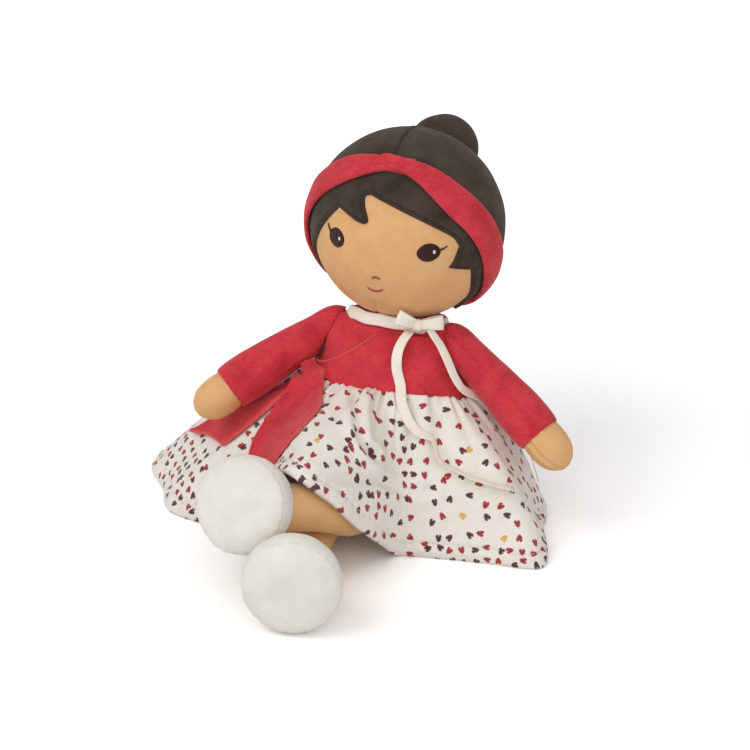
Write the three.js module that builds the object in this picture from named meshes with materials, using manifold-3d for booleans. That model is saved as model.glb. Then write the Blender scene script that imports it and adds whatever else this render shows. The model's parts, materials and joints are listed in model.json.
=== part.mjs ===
// A seated cloth doll: stuffed jersey limbs, a velour dress and a ball-shaped head.
// Millimetres, +Z up. The doll faces -Y and its left side is +X.
// The origin lies on the floor, under the seat.
import * as THREE from 'three';
import { mergeVertices } from 'three/addons/utils/BufferGeometryUtils.js';
import Module from 'manifold-3d';

const wasm = await Module();
wasm.setup();
const degrees = THREE.MathUtils.degToRad;

// Cloths and fits
const CLEAR = 0.3; // gap between pieces that touch
const SLACK = 1; // gap between a skin and its stuffing, and round the neck
const JERSEY = 1.2; // skin cloth
const VELOUR = 1.6; // dress and hair cloth, with its pile
const THREAD = 0.6; // height of the embroidery
const SATIN = 0.8; // ribbon cloth

// Torso, measured along its leaning axis from the seat
const LEAN = degrees(14);
const SEAT_BACK = 8; // the seat's centre behind the origin
const SEAT_WIDTH = 84;
const SEAT_DEPTH = 64;
const HIP_RISE = 26;
const HIP_WIDTH = 96;
const HIP_DEPTH = 74;
const WAIST_RISE = 70;
const WAIST_WIDTH = 86;
const WAIST_DEPTH = 64;
const CHEST_RISE = 84;
const CHEST_WIDTH = 77;
const CHEST_DEPTH = 56;
const SHOULDER_RISE = 95;
const SHOULDER_WIDTH = 65;
const SHOULDER_DEPTH = 46;
const COLLAR_RISE = 101;
const COLLAR_WIDTH = 42;
const COLLAR_DEPTH = 36;
const WRAP_DROP = 6; // from the collar down to the wrap's edge, on the middle line
const WRAP_SLOPE = degrees(35);
const WRAP_SIDE = 12; // from the torso's axis forward to the wrap's side edge

// Neck and head
const NECK_RADIUS = 13;
const HEAD_RADIUS = 49.5;
const HEAD_RISE = 50.2; // from the neck's pivot to the head's centre
const HEAD_TURN = degrees(4);
const HAIR_TILT = degrees(25); // the hair's front edge leans forward at the top
const HAIR_EDGE = 6.5; // from the head's centre forward to that edge
const HOOD_NAPE = 38; // from the head's centre down to the hood's lower edge
const BUN_RADIUS = 18.5;
const BUN_OUT = 57; // from the head's centre to the bun's centre
const BUN_TILT = degrees(27);
const BUN_SIDE = 4; // towards the doll's left
const BAND_WIDTH = 18;
const BAND_FORWARD = 2.2; // from the hair's edge forward to the band's middle
const BAND_THICK = 3.4;
const BAND_REACH = degrees(145); // from the twist round to the nape
const TWIST_SLANT = degrees(40);
const TWIST_PINCH = 0.75; // share of the band's width that is left at the twist

// Face, from the head's centre
const EYE_SPREAD = 24;
const EYE_HEIGHT = 4.8;
const EYE_WIDTH = 11.6;
const EYE_TALL = 10.4;
const LASH_LENGTH = 2.4;
const LASH_WIDTH = 1.1;
const NOSE_SIDE = -2.4; // across, as is the mouth's
const NOSE_DROP = 14;
const NOSE_RADIUS = 2.8;
const MOUTH_SIDE = -3.4;
const MOUTH_DROP = 14.6;
const MOUTH_RADIUS = 5.6;
const LINE_WIDTH = 1;
// The hair's lower edge as seen from the front: [across, up]
const HAIRLINE = [
  [-36, -32], [-40, -20], [-38.7, -6.3], [-34.1, 4.7], [-29, 12.7], [-22.7, 20],
  [-16.8, 18], [-11.9, 16.4], [-7.7, 15.8], [-5.4, 17.5], [-8.7, 24.7], [-9.3, 28.5],
  [-6.7, 29.4], [4.6, 25.4], [16.4, 20.6], [27.3, 14.6], [34.6, 9.1], [37, 4.5],
  [34.7, -2.8], [32.6, -6.3], [41.4, -10.4], [40.8, -17], [37.5, -29], [27.7, -40],
];

// Arms
const ARM_LENGTH = 88;
const WRIST = 66; // from the shoulder
const SHOULDER_HALF = 9; // half thickness at the shoulder seam
const ARM_HALF = 12.6; // half thickness where the arm is fullest
const WRIST_HALF = 11.6;
const HAND_HALF = 11.2;
const ARM_BOW = 2; // how far the arm bows up at its middle
const ARMHOLE_TILT = degrees(25);
const ARM_RISE = 93.6; // the shoulder seam's centre above the floor
const ARM_BACK = 18; // the shoulder seam's centre behind the origin
const ARMS = {
  left: { side: 1, aim: [64, -18, -48] },
  right: { side: -1, aim: [-57, -52, -39] },
};

// Legs and booties
const LEG_HALF = 12;
const HIP_SEAM_WIDTH = 18;
const HIP_SEAM_HALF = 1.6; // half thickness of the flat seam at the hip
const HIP_TAPER = 34; // length over which the leg fills out
const FOOT_RADIUS = 24.6;
const SOLE_DOME = 8; // from the sole's seam forward
const HEEL_DEPTH = 26; // from the sole's seam back
const LEGS = {
  left: {
    path: [[18, -25.5, 11], [7.5, -58, 31], [-8, -89, 41], [-23, -100, 44]],
    foot: [-30.5, -104, 45.5],
    aim: [-0.1, -0.9, 0.42],
    swing: degrees(28),
  },
  right: {
    path: [[-18, -25.5, 12.3], [-11, -74, 12.3], [0, -113, 12.5], [3.5, -127, 15]],
    foot: [5, -131, 25],
    aim: [0.25, -0.96, 0.06],
    swing: degrees(-50),
  },
};

// Skirt: its hem's course, from the doll's left front corner round the back
const HEM = [
  [100, -34, 0], [92, -6, 0], [82, 20, 0], [65, 50, 0], [35, 74, 0], [-5, 82, 0], [-60, 76, 0],
  [-110, 48, 0], [-132, 6, 0], [-124, -22, 0], [-104, -45, 0], [-78, -57, 1], [-54, -66, 12],
  [-36, -72, 38], [-20, -83, 56], [-7, -93.5, 58], [2, -95, 51], [8.5, -91, 44], [13, -85, 37],
  [18, -75, 26], [22, -63, 12], [27, -51, 1], [35, -46, 0], [53, -43, 0], [78, -40, 0],
];
const SKIRT_SWELL = 6; // how far the skirt swells out between waist and hem
const FOLD_COUNT = 12;
const FOLD_DEPTH = 3; // at the hem
const LEG_GAP = 3.2; // between the legs and the cloth that lies over them

// Sash, with its knot beside the waist seam
// A tail runs from its root, taken from the knot's centre, to its tip, taken from the origin
// Its middle bows sideways, and its end is cut askew by a share of its length
const KNOT_TURN = degrees(220); // round the waist from the doll's left
const KNOT_SIZE = [12, 9, 9];
const KNOT_RISE = 3.5; // the knot's centre above the waist seam
const TAIL_THICK = 1.8;
const TAIL_LIFT = 1.3; // above the skirt
const TAILS = {
  front: { root: [4, -4], tip: [-28, -66], width: 36, taper: 0.8, bow: -9, skew: 0 },
  side: { root: [-4, -3], tip: [-94, -20], width: 22, taper: 0.5, bow: 0, skew: -0.25 },
};

// Ribbon round the neck, with its bow
const RIBBON_WIDTH = 6;
const RIBBON_DROP = 1.2; // from the collar down to the ribbon
const RIBBON_RISE = 3.2; // height that the ribbon takes up on the sloping collar
const BOW_TURN = degrees(-44); // round the neck from the doll's left
const BOW_OUT = 29; // from the torso's axis
const BOW_LIFT = 2.2; // the bow's middle above the collar
const BOW_LOOP = 9.5; // a loop's length
const BOW_DEEP = 3.6; // a loop's depth
const BOW_KNOT = 5;
const RIBBON_TAILS = {
  right: [
    [19.4, 2.8, 103], [14.3, -4.5, 101.2], [10.5, -9.5, 96], [10.5, -13, 88], [14, -15.5, 80.5],
    [19, -21, 73], [25, -24.7, 64], [31, -25.7, 59.6], [37.2, -25.2, 57.4], [40, -27.8, 52.8],
    [43.5, -29.8, 48], [50.6, -28.7, 44.4], [58.5, -27.7, 41.3], [66.6, -27.3, 39.7], [74.3, -26, 38.3],
    [81.5, -23.6, 36.2],
  ],
  left: [
    [23, 3.6, 102], [27, 2.6, 98.4], [31.5, 0, 91.5], [36, -2.5, 82.5], [40, -1, 76], [44, 3, 73],
    [48.5, 7.5, 69.7], [54, 13.5, 64.2], [60, 19.4, 56.8], [66, 25.2, 46], [70, 28.8, 36], [73.2, 31.8, 25],
    [76.3, 34, 12.5],
  ],
};

// Fineness of the facets
const LIMB_SIDES = 12;
const TORSO_SIDES = 24;
const TORSO_RINGS = 6;
const HEAD_SIDES = 22;
const HEAD_RINGS = 12;
const SMALL_SIDES = 14; // neck, bun and knots
const SMALL_RINGS = 8;
const FOOT_SIDES = 16;
const BAND_RINGS = 15;
const BAND_SIDES = 10;
const SKIRT_SIDES = 60;
const SKIRT_ROWS = 8;
const TAIL_RINGS = 10; // of a sash tail
const LEG_MARKS = 24; // places along a leg that the skirt keeps clear of
const FAR = 400; // reaches past the whole doll
const POINT = 0.4; // half thickness of a tapered end
const DEEP = [0, 20, 30]; // a place inside the doll, behind all its cloths

const cloth = (color, roughness) => new THREE.MeshStandardMaterial({ color, roughness, metalness: 0 });
const SKIN = cloth(0xd9a66e, 0.85);
const RED = cloth(0xc32f3d, 0.9);
const CREAM = cloth(0xf4efe6, 0.92);
const HAIR = cloth(0x40362f, 0.9);
const IVORY = cloth(0xf6efe2, 0.45);
const FILLING = cloth(0xf2f2ee, 1);
const EYE_THREAD = cloth(0x2a1512, 0.5);
const MOUTH_THREAD = cloth(0xb04a55, 0.6);

const vec = (x, y, z) => new THREE.Vector3(x, y, z);
const UP = vec(0, 0, 1);

// A closed solid from a geometry, for joining and cutting
function solid(geometry) {
  const bare = new THREE.BufferGeometry();
  bare.setAttribute('position', geometry.getAttribute('position'));
  bare.setIndex(geometry.getIndex());
  const merged = mergeVertices(bare, 1e-4);
  const corners = merged.getIndex().array;
  const kept = [];
  for (let i = 0; i < corners.length; i += 3) {
    const [a, b, c] = corners.slice(i, i + 3);
    if (a !== b && b !== c && c !== a) kept.push(a, b, c);
  }
  const vertProperties = Float32Array.from(merged.getAttribute('position').array);
  const make = (list) =>
    new wasm.Manifold(new wasm.Mesh({ numProp: 3, vertProperties, triVerts: Uint32Array.from(list) }));
  const form = make(kept);
  return form.volume() > 0 ? form : make(kept.reverse());
}

// The doll's nodes are gathered here
const doll = new THREE.Group();
const head = new THREE.Group();
doll.add(head);

function piece(name, form, material, parent = doll) {
  const { vertProperties, triVerts } = form.getMesh();
  const geometry = new THREE.BufferGeometry();
  geometry.setAttribute('position', new THREE.BufferAttribute(Float32Array.from(vertProperties), 3));
  geometry.setIndex(Array.from(triVerts));
  geometry.computeVertexNormals();
  const mesh = new THREE.Mesh(geometry, material);
  mesh.name = name;
  parent.add(mesh);
}

// Everything on the far side of a plane
function beyond(normal, offset) {
  const box = new THREE.BoxGeometry(2 * FAR, 2 * FAR, 2 * FAR);
  box.translate(0, 0, FAR + offset);
  box.applyQuaternion(new THREE.Quaternion().setFromUnitVectors(UP, normal.clone().normalize()));
  return solid(box);
}

// Skins rings that have as many points each, an even number; without caps the last ring joins the first
function skin(rings, capped) {
  const count = rings[0].length;
  const points = rings.flat();
  const index = [];
  const spans = capped ? rings.length - 1 : rings.length;
  for (let r = 0; r < spans; r += 1) {
    const low = r * count;
    const high = ((r + 1) % rings.length) * count;
    for (let i = 0; i < count; i += 1) {
      const j = (i + 1) % count;
      index.push(low + i, low + j, high + j, low + i, high + j, high + i);
    }
  }
  if (capped) {
    [rings[0], rings.at(-1)].forEach((ring, end) => {
      const middle = points.length;
      points.push(ring[1].clone().lerp(ring[1 + count / 2], 0.5));
      const base = end * (rings.length - 1) * count;
      for (let i = 0; i < count; i += 1) {
        const edge = [base + i, base + ((i + 1) % count)];
        index.push(middle, ...(end ? edge : edge.reverse()));
      }
    });
  }
  return solid(new THREE.BufferGeometry().setFromPoints(points).setIndex(index));
}

const around = (count, make) => Array.from({ length: count }, (_, i) => make((2 * Math.PI * i) / count));
const steps = (count, make) => Array.from({ length: count + 1 }, (_, i) => make(i / count));

// A place beside the torso's axis, which bends from upright at the seat to its lean at the waist
function torsoPlace(x, y, rise) {
  const bend = WAIST_RISE / LEAN;
  const tilt = LEAN * Math.min(rise / WAIST_RISE, 1);
  const over = Math.max(rise - WAIST_RISE, 0);
  const back = bend * (1 - Math.cos(tilt)) + over * Math.sin(tilt);
  const height = bend * Math.sin(tilt) + over * Math.cos(tilt);
  return vec(x, SEAT_BACK + back + y * Math.cos(tilt), height - y * Math.sin(tilt));
}

const WAIST = vec(WAIST_RISE, WAIST_WIDTH, WAIST_DEPTH);
const HIPS = new THREE.CatmullRomCurve3([
  vec(0, SEAT_WIDTH, SEAT_DEPTH), vec(HIP_RISE, HIP_WIDTH, HIP_DEPTH), WAIST,
]);
const BODICE = new THREE.CatmullRomCurve3([
  WAIST, vec(CHEST_RISE, CHEST_WIDTH, CHEST_DEPTH), vec(SHOULDER_RISE, SHOULDER_WIDTH, SHOULDER_DEPTH),
  vec(COLLAR_RISE, COLLAR_WIDTH, COLLAR_DEPTH),
]);

// Rings up one half of the torso, grown outwards, with its ends moved along the axis
function torsoRings(profile, grow, startBy = 0, endBy = 0) {
  return steps(TORSO_RINGS, (u) => {
    const at = profile.getPoint(u);
    const along = profile.getTangent(u);
    const wide = Math.hypot(along.x, along.y / 2);
    const deep = Math.hypot(along.x, along.z / 2);
    const shift = (u === 0 ? startBy : 0) + (u === 1 ? endBy : 0);
    const rise = at.x - (grow * along.y) / 2 / wide + shift;
    const halfWidth = at.y / 2 + (grow * along.x) / wide + (shift * along.y) / 2 / along.x;
    const halfDepth = at.z / 2 + (grow * along.x) / deep + (shift * along.z) / 2 / along.x;
    return around(TORSO_SIDES, (a) =>
      torsoPlace(halfWidth * Math.cos(a), halfDepth * Math.sin(a), rise));
  });
}
const torsoForm = (...how) => skin(torsoRings(...how), true);

const torsoAxis = vec(0, Math.sin(LEAN), Math.cos(LEAN));
const neckPivot = torsoPlace(0, 0, COLLAR_RISE);
const headCentre = torsoPlace(0, 0, COLLAR_RISE + HEAD_RISE);

const smallBall = (radius, centre) => ball(radius, centre, SMALL_SIDES, SMALL_RINGS);
function ball(radius, centre = vec(0, 0, 0), sides = HEAD_SIDES, rings = HEAD_RINGS) {
  const sphere = new THREE.SphereGeometry(radius, sides, rings);
  sphere.rotateX(Math.PI / 2);
  sphere.translate(centre.x, centre.y, centre.z);
  return solid(sphere);
}

function torso() {
  const socket = smallBall(NECK_RADIUS + SLACK, neckPivot);
  const hollow = torsoForm(HIPS, -JERSEY, JERSEY, JERSEY);
  piece('lower_body', torsoForm(HIPS, 0).subtract(hollow), SKIN);
  const lining = torsoForm(BODICE, -VELOUR, -VELOUR, 0);
  piece('bodice', torsoForm(BODICE, 0, CLEAR).subtract(lining).subtract(socket), RED);
  const inside = JERSEY + SLACK;
  const lower = torsoForm(HIPS, -inside, inside, CLEAR);
  const upper = torsoForm(BODICE, -VELOUR - SLACK, -SLACK, 0);
  piece('torso_stuffing', lower.add(upper).subtract(socket), FILLING);
  piece('neck', smallBall(NECK_RADIUS, neckPivot), FILLING);

  const edge = vec(Math.sin(WRAP_SLOPE), Math.cos(WRAP_SLOPE) * Math.sin(LEAN), 0);
  edge.z = -Math.cos(WRAP_SLOPE) * Math.cos(LEAN);
  const start = torsoPlace(0, -COLLAR_DEPTH / 2, COLLAR_RISE - WRAP_DROP);
  const front = vec(0, -Math.cos(LEAN), Math.sin(LEAN));
  const thick = CLEAR + VELOUR; // also the height of the skirt's top edge
  const layer = torsoForm(BODICE, thick, thick + CLEAR).subtract(torsoForm(BODICE, CLEAR, -VELOUR));
  const top = COLLAR_RISE - RIBBON_DROP - RIBBON_RISE - CLEAR;
  const wrap = layer
    .intersect(beyond(edge, edge.dot(start)))
    .intersect(beyond(front, front.dot(neckPivot) + WRAP_SIDE))
    .subtract(beyond(torsoAxis, torsoAxis.dot(torsoPlace(0, 0, top))));
  piece('wrap_panel', wrap, RED);
}

// Head, in its own frame with its centre at the origin
const hairAim = vec(0, -Math.cos(HAIR_TILT), -Math.sin(HAIR_TILT));
const hoodRadius = HEAD_RADIUS + CLEAR + VELOUR;

function onFace(shape, thick) {
  const prism = new THREE.ExtrudeGeometry(shape, { depth: FAR, bevelEnabled: false, curveSegments: 5 });
  prism.rotateX(Math.PI / 2);
  const inner = HEAD_RADIUS + CLEAR;
  return ball(inner + thick).subtract(ball(inner)).intersect(solid(prism));
}

function arc(x, y, radius, from, to) {
  const shape = new THREE.Shape();
  shape.absarc(x, y, radius + LINE_WIDTH / 2, from, to, false);
  shape.absarc(x, y, radius - LINE_WIDTH / 2, to, from, true);
  return shape;
}

function face() {
  const oval = new THREE.Shape();
  oval.absellipse(EYE_SPREAD, EYE_HEIGHT, EYE_WIDTH / 2, EYE_TALL / 2, 0, 2 * Math.PI, false);
  const root = [EYE_SPREAD + EYE_WIDTH * 0.36, EYE_HEIGHT + EYE_TALL * 0.24];
  const tip = [root[0] + LASH_LENGTH, root[1] + LASH_LENGTH * 0.6];
  const lash = new THREE.Shape([
    new THREE.Vector2(root[0], root[1] - LASH_WIDTH),
    new THREE.Vector2(tip[0], tip[1] - LASH_WIDTH / 3),
    new THREE.Vector2(tip[0] - LASH_WIDTH / 2, tip[1] + LASH_WIDTH / 3),
    new THREE.Vector2(root[0] - LASH_WIDTH, root[1] + LASH_WIDTH),
  ]);
  for (const [name, side] of [['eye_left', 1], ['eye_right', -1]]) {
    const mirrored = (shape) =>
      new THREE.Shape(shape.getPoints(5).map((p) => new THREE.Vector2(side * p.x, p.y)));
    piece(name, onFace(mirrored(oval), THREAD).add(onFace(mirrored(lash), THREAD)), EYE_THREAD, head);
  }
  const nose = arc(NOSE_SIDE, -NOSE_DROP, NOSE_RADIUS, degrees(40), degrees(140));
  piece('nose_stitch', onFace(nose, THREAD), MOUTH_THREAD, head);
  const mouth = arc(MOUTH_SIDE, -MOUTH_DROP, MOUTH_RADIUS, degrees(222), degrees(318));
  piece('mouth_stitch', onFace(mouth, THREAD), MOUTH_THREAD, head);
}

function hair() {
  const layer = ball(hoodRadius).subtract(ball(HEAD_RADIUS + CLEAR));
  const hood = layer
    .subtract(beyond(hairAim, HAIR_EDGE - CLEAR / 2))
    .subtract(beyond(vec(0, 0, -1), HOOD_NAPE));
  piece('hair_hood', hood, HAIR, head);

  const outer = 1.2 * hoodRadius;
  const [first, last] = [HAIRLINE[0], HAIRLINE.at(-1)];
  const outline = [...HAIRLINE, [outer, last[1]], [outer, outer], [-outer, outer], [-outer, first[1]]];
  const fringe = onFace(new THREE.Shape(outline.map(([x, y]) => new THREE.Vector2(x, y))), VELOUR);
  piece('fringe', fringe.intersect(beyond(hairAim, HAIR_EDGE + CLEAR / 2)), HAIR, head);

  const seat = ball(hoodRadius + CLEAR);
  const centre = vec(BUN_SIDE, BUN_OUT * Math.cos(BUN_TILT), BUN_OUT * Math.sin(BUN_TILT));
  const bun = (less) => smallBall(BUN_RADIUS - less, centre);
  piece('hair_bun', bun(0).subtract(bun(VELOUR)).subtract(seat), HAIR, head);
  piece('bun_stuffing', bun(VELOUR + SLACK).subtract(seat), FILLING, head);
}

// One strand of the headband, from the twist over the forehead round to the nape
function strand(side) {
  const top = vec(0, hairAim.z, -hairAim.y);
  const lead = degrees(14); // runs past the twist before it is cut there
  const level = HAIR_EDGE + BAND_FORWARD;
  const reach = hoodRadius + CLEAR + BAND_THICK / 2;
  const rounded = (share) => Math.sign(share) * Math.abs(share) ** 0.7;
  const rings = steps(BAND_RINGS, (t) => {
    const turn = -lead + t * (BAND_REACH + lead);
    const aim = vec(side * Math.sin(turn), 0, 0).addScaledVector(top, Math.cos(turn));
    const wide = BAND_WIDTH * (1 - (1 - TWIST_PINCH) * Math.exp(-((turn / lead) ** 2)));
    const place = aim.clone().multiplyScalar(Math.sqrt(reach ** 2 - level ** 2));
    const out = place.addScaledVector(hairAim, level).normalize();
    const along = vec(side * Math.cos(turn), 0, 0).addScaledVector(top, -Math.sin(turn));
    const across = out.clone().cross(along);
    return around(BAND_SIDES, (a) => {
      const swing = (wide / 2 / reach) * rounded(Math.cos(a));
      const lift = reach + (BAND_THICK / 2) * rounded(Math.sin(a));
      const outward = out.clone().multiplyScalar(Math.cos(swing));
      return outward.addScaledVector(across, Math.sin(swing)).multiplyScalar(lift);
    });
  });
  const slant = vec(Math.cos(TWIST_SLANT), 0, 0).addScaledVector(hairAim, -Math.sin(TWIST_SLANT));
  const offset = slant.dot(hairAim) * level;
  const kept = beyond(slant.multiplyScalar(side), side * offset + CLEAR / 2);
  return skin(rings, true).subtract(ball(hoodRadius + CLEAR)).intersect(kept);
}

function headPieces() {
  head.position.copy(headCentre);
  head.rotation.z = HEAD_TURN;
  const pivot = neckPivot.clone().sub(headCentre).applyAxisAngle(UP, -HEAD_TURN);
  const socket = smallBall(NECK_RADIUS + SLACK, pivot);
  piece('head_skin', ball(HEAD_RADIUS).subtract(ball(HEAD_RADIUS - JERSEY)).subtract(socket), SKIN, head);
  piece('head_stuffing', smallBall(HEAD_RADIUS - JERSEY - SLACK).subtract(socket), FILLING, head);
  face();
  hair();
  piece('headband_left', strand(1), RED, head);
  piece('headband_right', strand(-1), RED, head);
}

// A stuffed tube along a curve; each station is [distance, half width, half height]
function tube(curve, stations, grow) {
  const length = curve.getLength();
  const half = (size) => Math.max(size + grow, POINT);
  const rings = stations.map(([at, width, height]) => {
    const share = THREE.MathUtils.clamp(at / length, 0, 1);
    const along = curve.getTangentAt(share);
    const place = curve.getPointAt(share).addScaledVector(along, at - share * length);
    const across = along.clone().cross(UP).normalize();
    const over = across.clone().cross(along);
    return around(LIMB_SIDES, (a) => place.clone()
      .addScaledVector(across, half(width) * Math.cos(a))
      .addScaledVector(over, half(height) * Math.sin(a)));
  });
  return skin(rings, true);
}

function arm(name, { side, aim }) {
  const normal = vec(side * Math.cos(ARMHOLE_TILT), 0, Math.sin(ARMHOLE_TILT));
  const reach = Math.max(...torsoRings(BODICE, 0).flat().map((p) => p.dot(normal)));
  const out = (reach + CLEAR - Math.sin(ARMHOLE_TILT) * ARM_RISE) / Math.cos(ARMHOLE_TILT);
  const shoulder = vec(side * out, ARM_BACK, ARM_RISE);
  const tip = shoulder.clone().addScaledVector(vec(...aim).normalize(), ARM_LENGTH);
  const middle = shoulder.clone().lerp(tip, 0.5).addScaledVector(UP, 2 * ARM_BOW);
  const curve = new THREE.QuadraticBezierCurve3(shoulder, middle, tip);

  const hand = ARM_LENGTH - WRIST;
  const fuller = (share) => SHOULDER_HALF + (ARM_HALF - SHOULDER_HALF) * share;
  const form = (grow) => tube(curve, [
    [-SHOULDER_HALF - grow, SHOULDER_HALF * 0.3], [-SHOULDER_HALF * 0.6 - grow, SHOULDER_HALF * 0.78],
    [0, SHOULDER_HALF], [WRIST * 0.2, fuller(0.12)], [WRIST * 0.45, fuller(0.55)],
    [WRIST * 0.75, ARM_HALF], [WRIST, WRIST_HALF],
    [WRIST + (hand + grow) * 0.35, HAND_HALF], [WRIST + (hand + grow) * 0.7, HAND_HALF * 0.88],
    [WRIST + (hand + grow) * 0.92, HAND_HALF * 0.55], [ARM_LENGTH + grow, HAND_HALF * 0.2],
  ].map(([at, half]) => [at, half, half]), grow);

  const outside = beyond(normal, reach + CLEAR);
  const share = WRIST / curve.getLength();
  const along = curve.getTangentAt(share);
  const wrist = along.dot(curve.getPointAt(share));
  const sleeve = form(0).subtract(form(-VELOUR)).intersect(outside);
  piece(`sleeve_${name}`, sleeve.subtract(beyond(along, wrist)), RED);
  const mitten = form(0).subtract(form(-JERSEY));
  piece(`hand_${name}`, mitten.intersect(beyond(along, wrist + CLEAR)), SKIN);
  piece(`arm_stuffing_${name}`, form(-VELOUR - SLACK).intersect(outside), FILLING);
}

const legCurve = ({ path }) => new THREE.CatmullRomCurve3(path.map((p) => vec(...p)));

function legForm(leg, grow, from) {
  const curve = legCurve(leg);
  const length = curve.getLength();
  const distances = [from, HIP_TAPER * 0.5, HIP_TAPER * 0.75, HIP_TAPER, ...steps(4, (t) =>
    HIP_TAPER + (length - HIP_TAPER) * t).slice(1)];
  if (from < 0) distances.splice(1, 0, 0, HIP_TAPER * 0.25);
  return tube(curve, distances.map((at) => {
    const full = THREE.MathUtils.smoothstep(at, 0, HIP_TAPER);
    const width = THREE.MathUtils.lerp(HIP_SEAM_WIDTH / 2, LEG_HALF, full);
    return [at, width, THREE.MathUtils.lerp(HIP_SEAM_HALF, LEG_HALF, full)];
  }), grow);
}

// A bootie turned about its own axis, from the sole's middle back to the heel
function footForm({ foot, aim }, grow) {
  const radius = FOOT_RADIUS + grow;
  const dome = SOLE_DOME + grow;
  const heel = HEEL_DEPTH + grow;
  const profile = [
    [0, -dome], [0.45 * radius, -0.92 * dome], [0.8 * radius, -0.62 * dome], [radius, 0],
    [radius, 0.2 * heel], [0.93 * radius, 0.5 * heel], [0.68 * radius, 0.84 * heel],
    [0.34 * radius, 0.97 * heel], [0, heel],
  ];
  const turned = new THREE.LatheGeometry(profile.map(([x, y]) => new THREE.Vector2(x, y)), FOOT_SIDES);
  const ahead = vec(...aim).normalize();
  turned.applyQuaternion(new THREE.Quaternion().setFromUnitVectors(vec(0, 1, 0), ahead.clone().negate()));
  const seam = footSeam({ foot, aim });
  turned.translate(seam.x, seam.y, seam.z);
  return solid(turned);
}

// The middle of the seam between a bootie's sole and its upper
function footSeam({ foot, aim }) {
  return vec(...foot).addScaledVector(vec(...aim).normalize(), (HEEL_DEPTH - SOLE_DOME) / 2);
}

function legPieces(name, leg) {
  const hollow = legForm(leg, -JERSEY, HIP_TAPER * 0.3);
  // The seam is cut clear of the body at each of the leg's angles
  const hip = vec(...leg.path[0]);
  const sewn = [0, 0.5, 1].reduce((form, share) => {
    const swung = (p) => p.sub(hip).applyAxisAngle(vec(1, 0, 0), share * leg.swing).add(hip);
    return form.subtract(skin(torsoRings(HIPS, CLEAR).map((ring) => ring.map(swung)), true));
  }, legForm(leg, 0, -HIP_TAPER * 0.3));
  piece(`leg_${name}`, sewn.subtract(hollow).subtract(footForm(leg, CLEAR)), SKIN);
  const ahead = vec(...leg.aim).normalize();
  const seam = ahead.dot(footSeam(leg));
  const bootie = footForm(leg, 0).subtract(footForm(leg, -VELOUR));
  const upper = bootie.subtract(beyond(ahead, seam - CLEAR)).subtract(hollow);
  piece(`bootie_upper_${name}`, upper, CREAM);
  piece(`bootie_sole_${name}`, bootie.intersect(beyond(ahead, seam)), CREAM);
  const filling = legForm(leg, -JERSEY - SLACK, HIP_TAPER * 0.4);
  piece(`leg_stuffing_${name}`, filling.add(footForm(leg, -VELOUR - SLACK)), FILLING);
}

// Skirt
const hem = new THREE.CatmullRomCurve3(HEM.map((p) => vec(...p)), true);
const legMarks = Object.values(LEGS).flatMap((leg) => legCurve(leg).getSpacedPoints(LEG_MARKS));

// Moves a place on the skirt out of the legs' way
function clearOfLegs(place) {
  const radius = LEG_HALF + LEG_GAP;
  for (const mark of legMarks) {
    if (place.distanceTo(mark) < radius) place.sub(mark).setLength(radius).add(mark);
  }
}

// A place on the skirt's inner side: round the hem, then from the waist down
function skirtPlace(round, down) {
  const low = hem.getPointAt(round);
  const middle = torsoPlace(0, 0, WAIST_RISE);
  const turn = Math.atan2(low.y - middle.y, low.x - middle.x);
  const halfWidth = WAIST_WIDTH / 2 + CLEAR;
  const halfDepth = WAIST_DEPTH / 2 + CLEAR;
  const high = torsoPlace(halfWidth * Math.cos(turn), halfDepth * Math.sin(turn), WAIST_RISE - CLEAR);
  const out = vec(low.x - high.x, low.y - high.y, 0).normalize();
  const swell = SKIRT_SWELL * Math.sin(Math.PI * down);
  const fold = FOLD_DEPTH * down * Math.cos(2 * Math.PI * FOLD_COUNT * round);
  const place = high.clone().lerp(low, down);
  place.addScaledVector(out, 0.6 * swell + fold);
  place.z += 0.8 * swell;
  clearOfLegs(place);
  place.z = Math.max(place.z, 0);
  return place;
}

function skirtOuter(round, down) {
  const near = 0.002;
  const across = skirtPlace((round + near) % 1, down).sub(skirtPlace((round + 1 - near) % 1, down));
  const above = skirtPlace(round, Math.max(down - near, 0));
  const along = skirtPlace(round, Math.min(down + near, 1)).sub(above);
  const place = skirtPlace(round, down).addScaledVector(along.cross(across).normalize(), VELOUR);
  place.z = Math.max(place.z, 0);
  return place;
}

const skirtRows = (place) => Array.from({ length: SKIRT_SIDES }, (_, i) =>
  steps(SKIRT_ROWS, (down) => place(i / SKIRT_SIDES, down)));
const skirtCloth = skirtRows(skirtOuter);

function skirt() {
  const lining = skirtRows(skirtPlace);
  piece('skirt', skin(lining.map((row, i) => [...row, ...skirtCloth[i].toReversed()]), false), CREAM);
}

// Height of the skirt's outer side over a place on the floor
function skirtHeight(x, y) {
  const ray = new THREE.Ray(vec(x, y, FAR), vec(0, 0, -1));
  let height = 0;
  const hit = vec(0, 0, 0);
  skirtCloth.forEach((row, i) => {
    const next = skirtCloth[(i + 1) % SKIRT_SIDES];
    for (let k = 0; k < SKIRT_ROWS; k += 1) {
      const [a, b, c, d] = [row[k], row[k + 1], next[k + 1], next[k]];
      if (ray.intersectTriangle(a, b, c, false, hit)) height = Math.max(height, hit.z);
      if (ray.intersectTriangle(a, c, d, false, hit)) height = Math.max(height, hit.z);
    }
  });
  return height;
}

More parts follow.
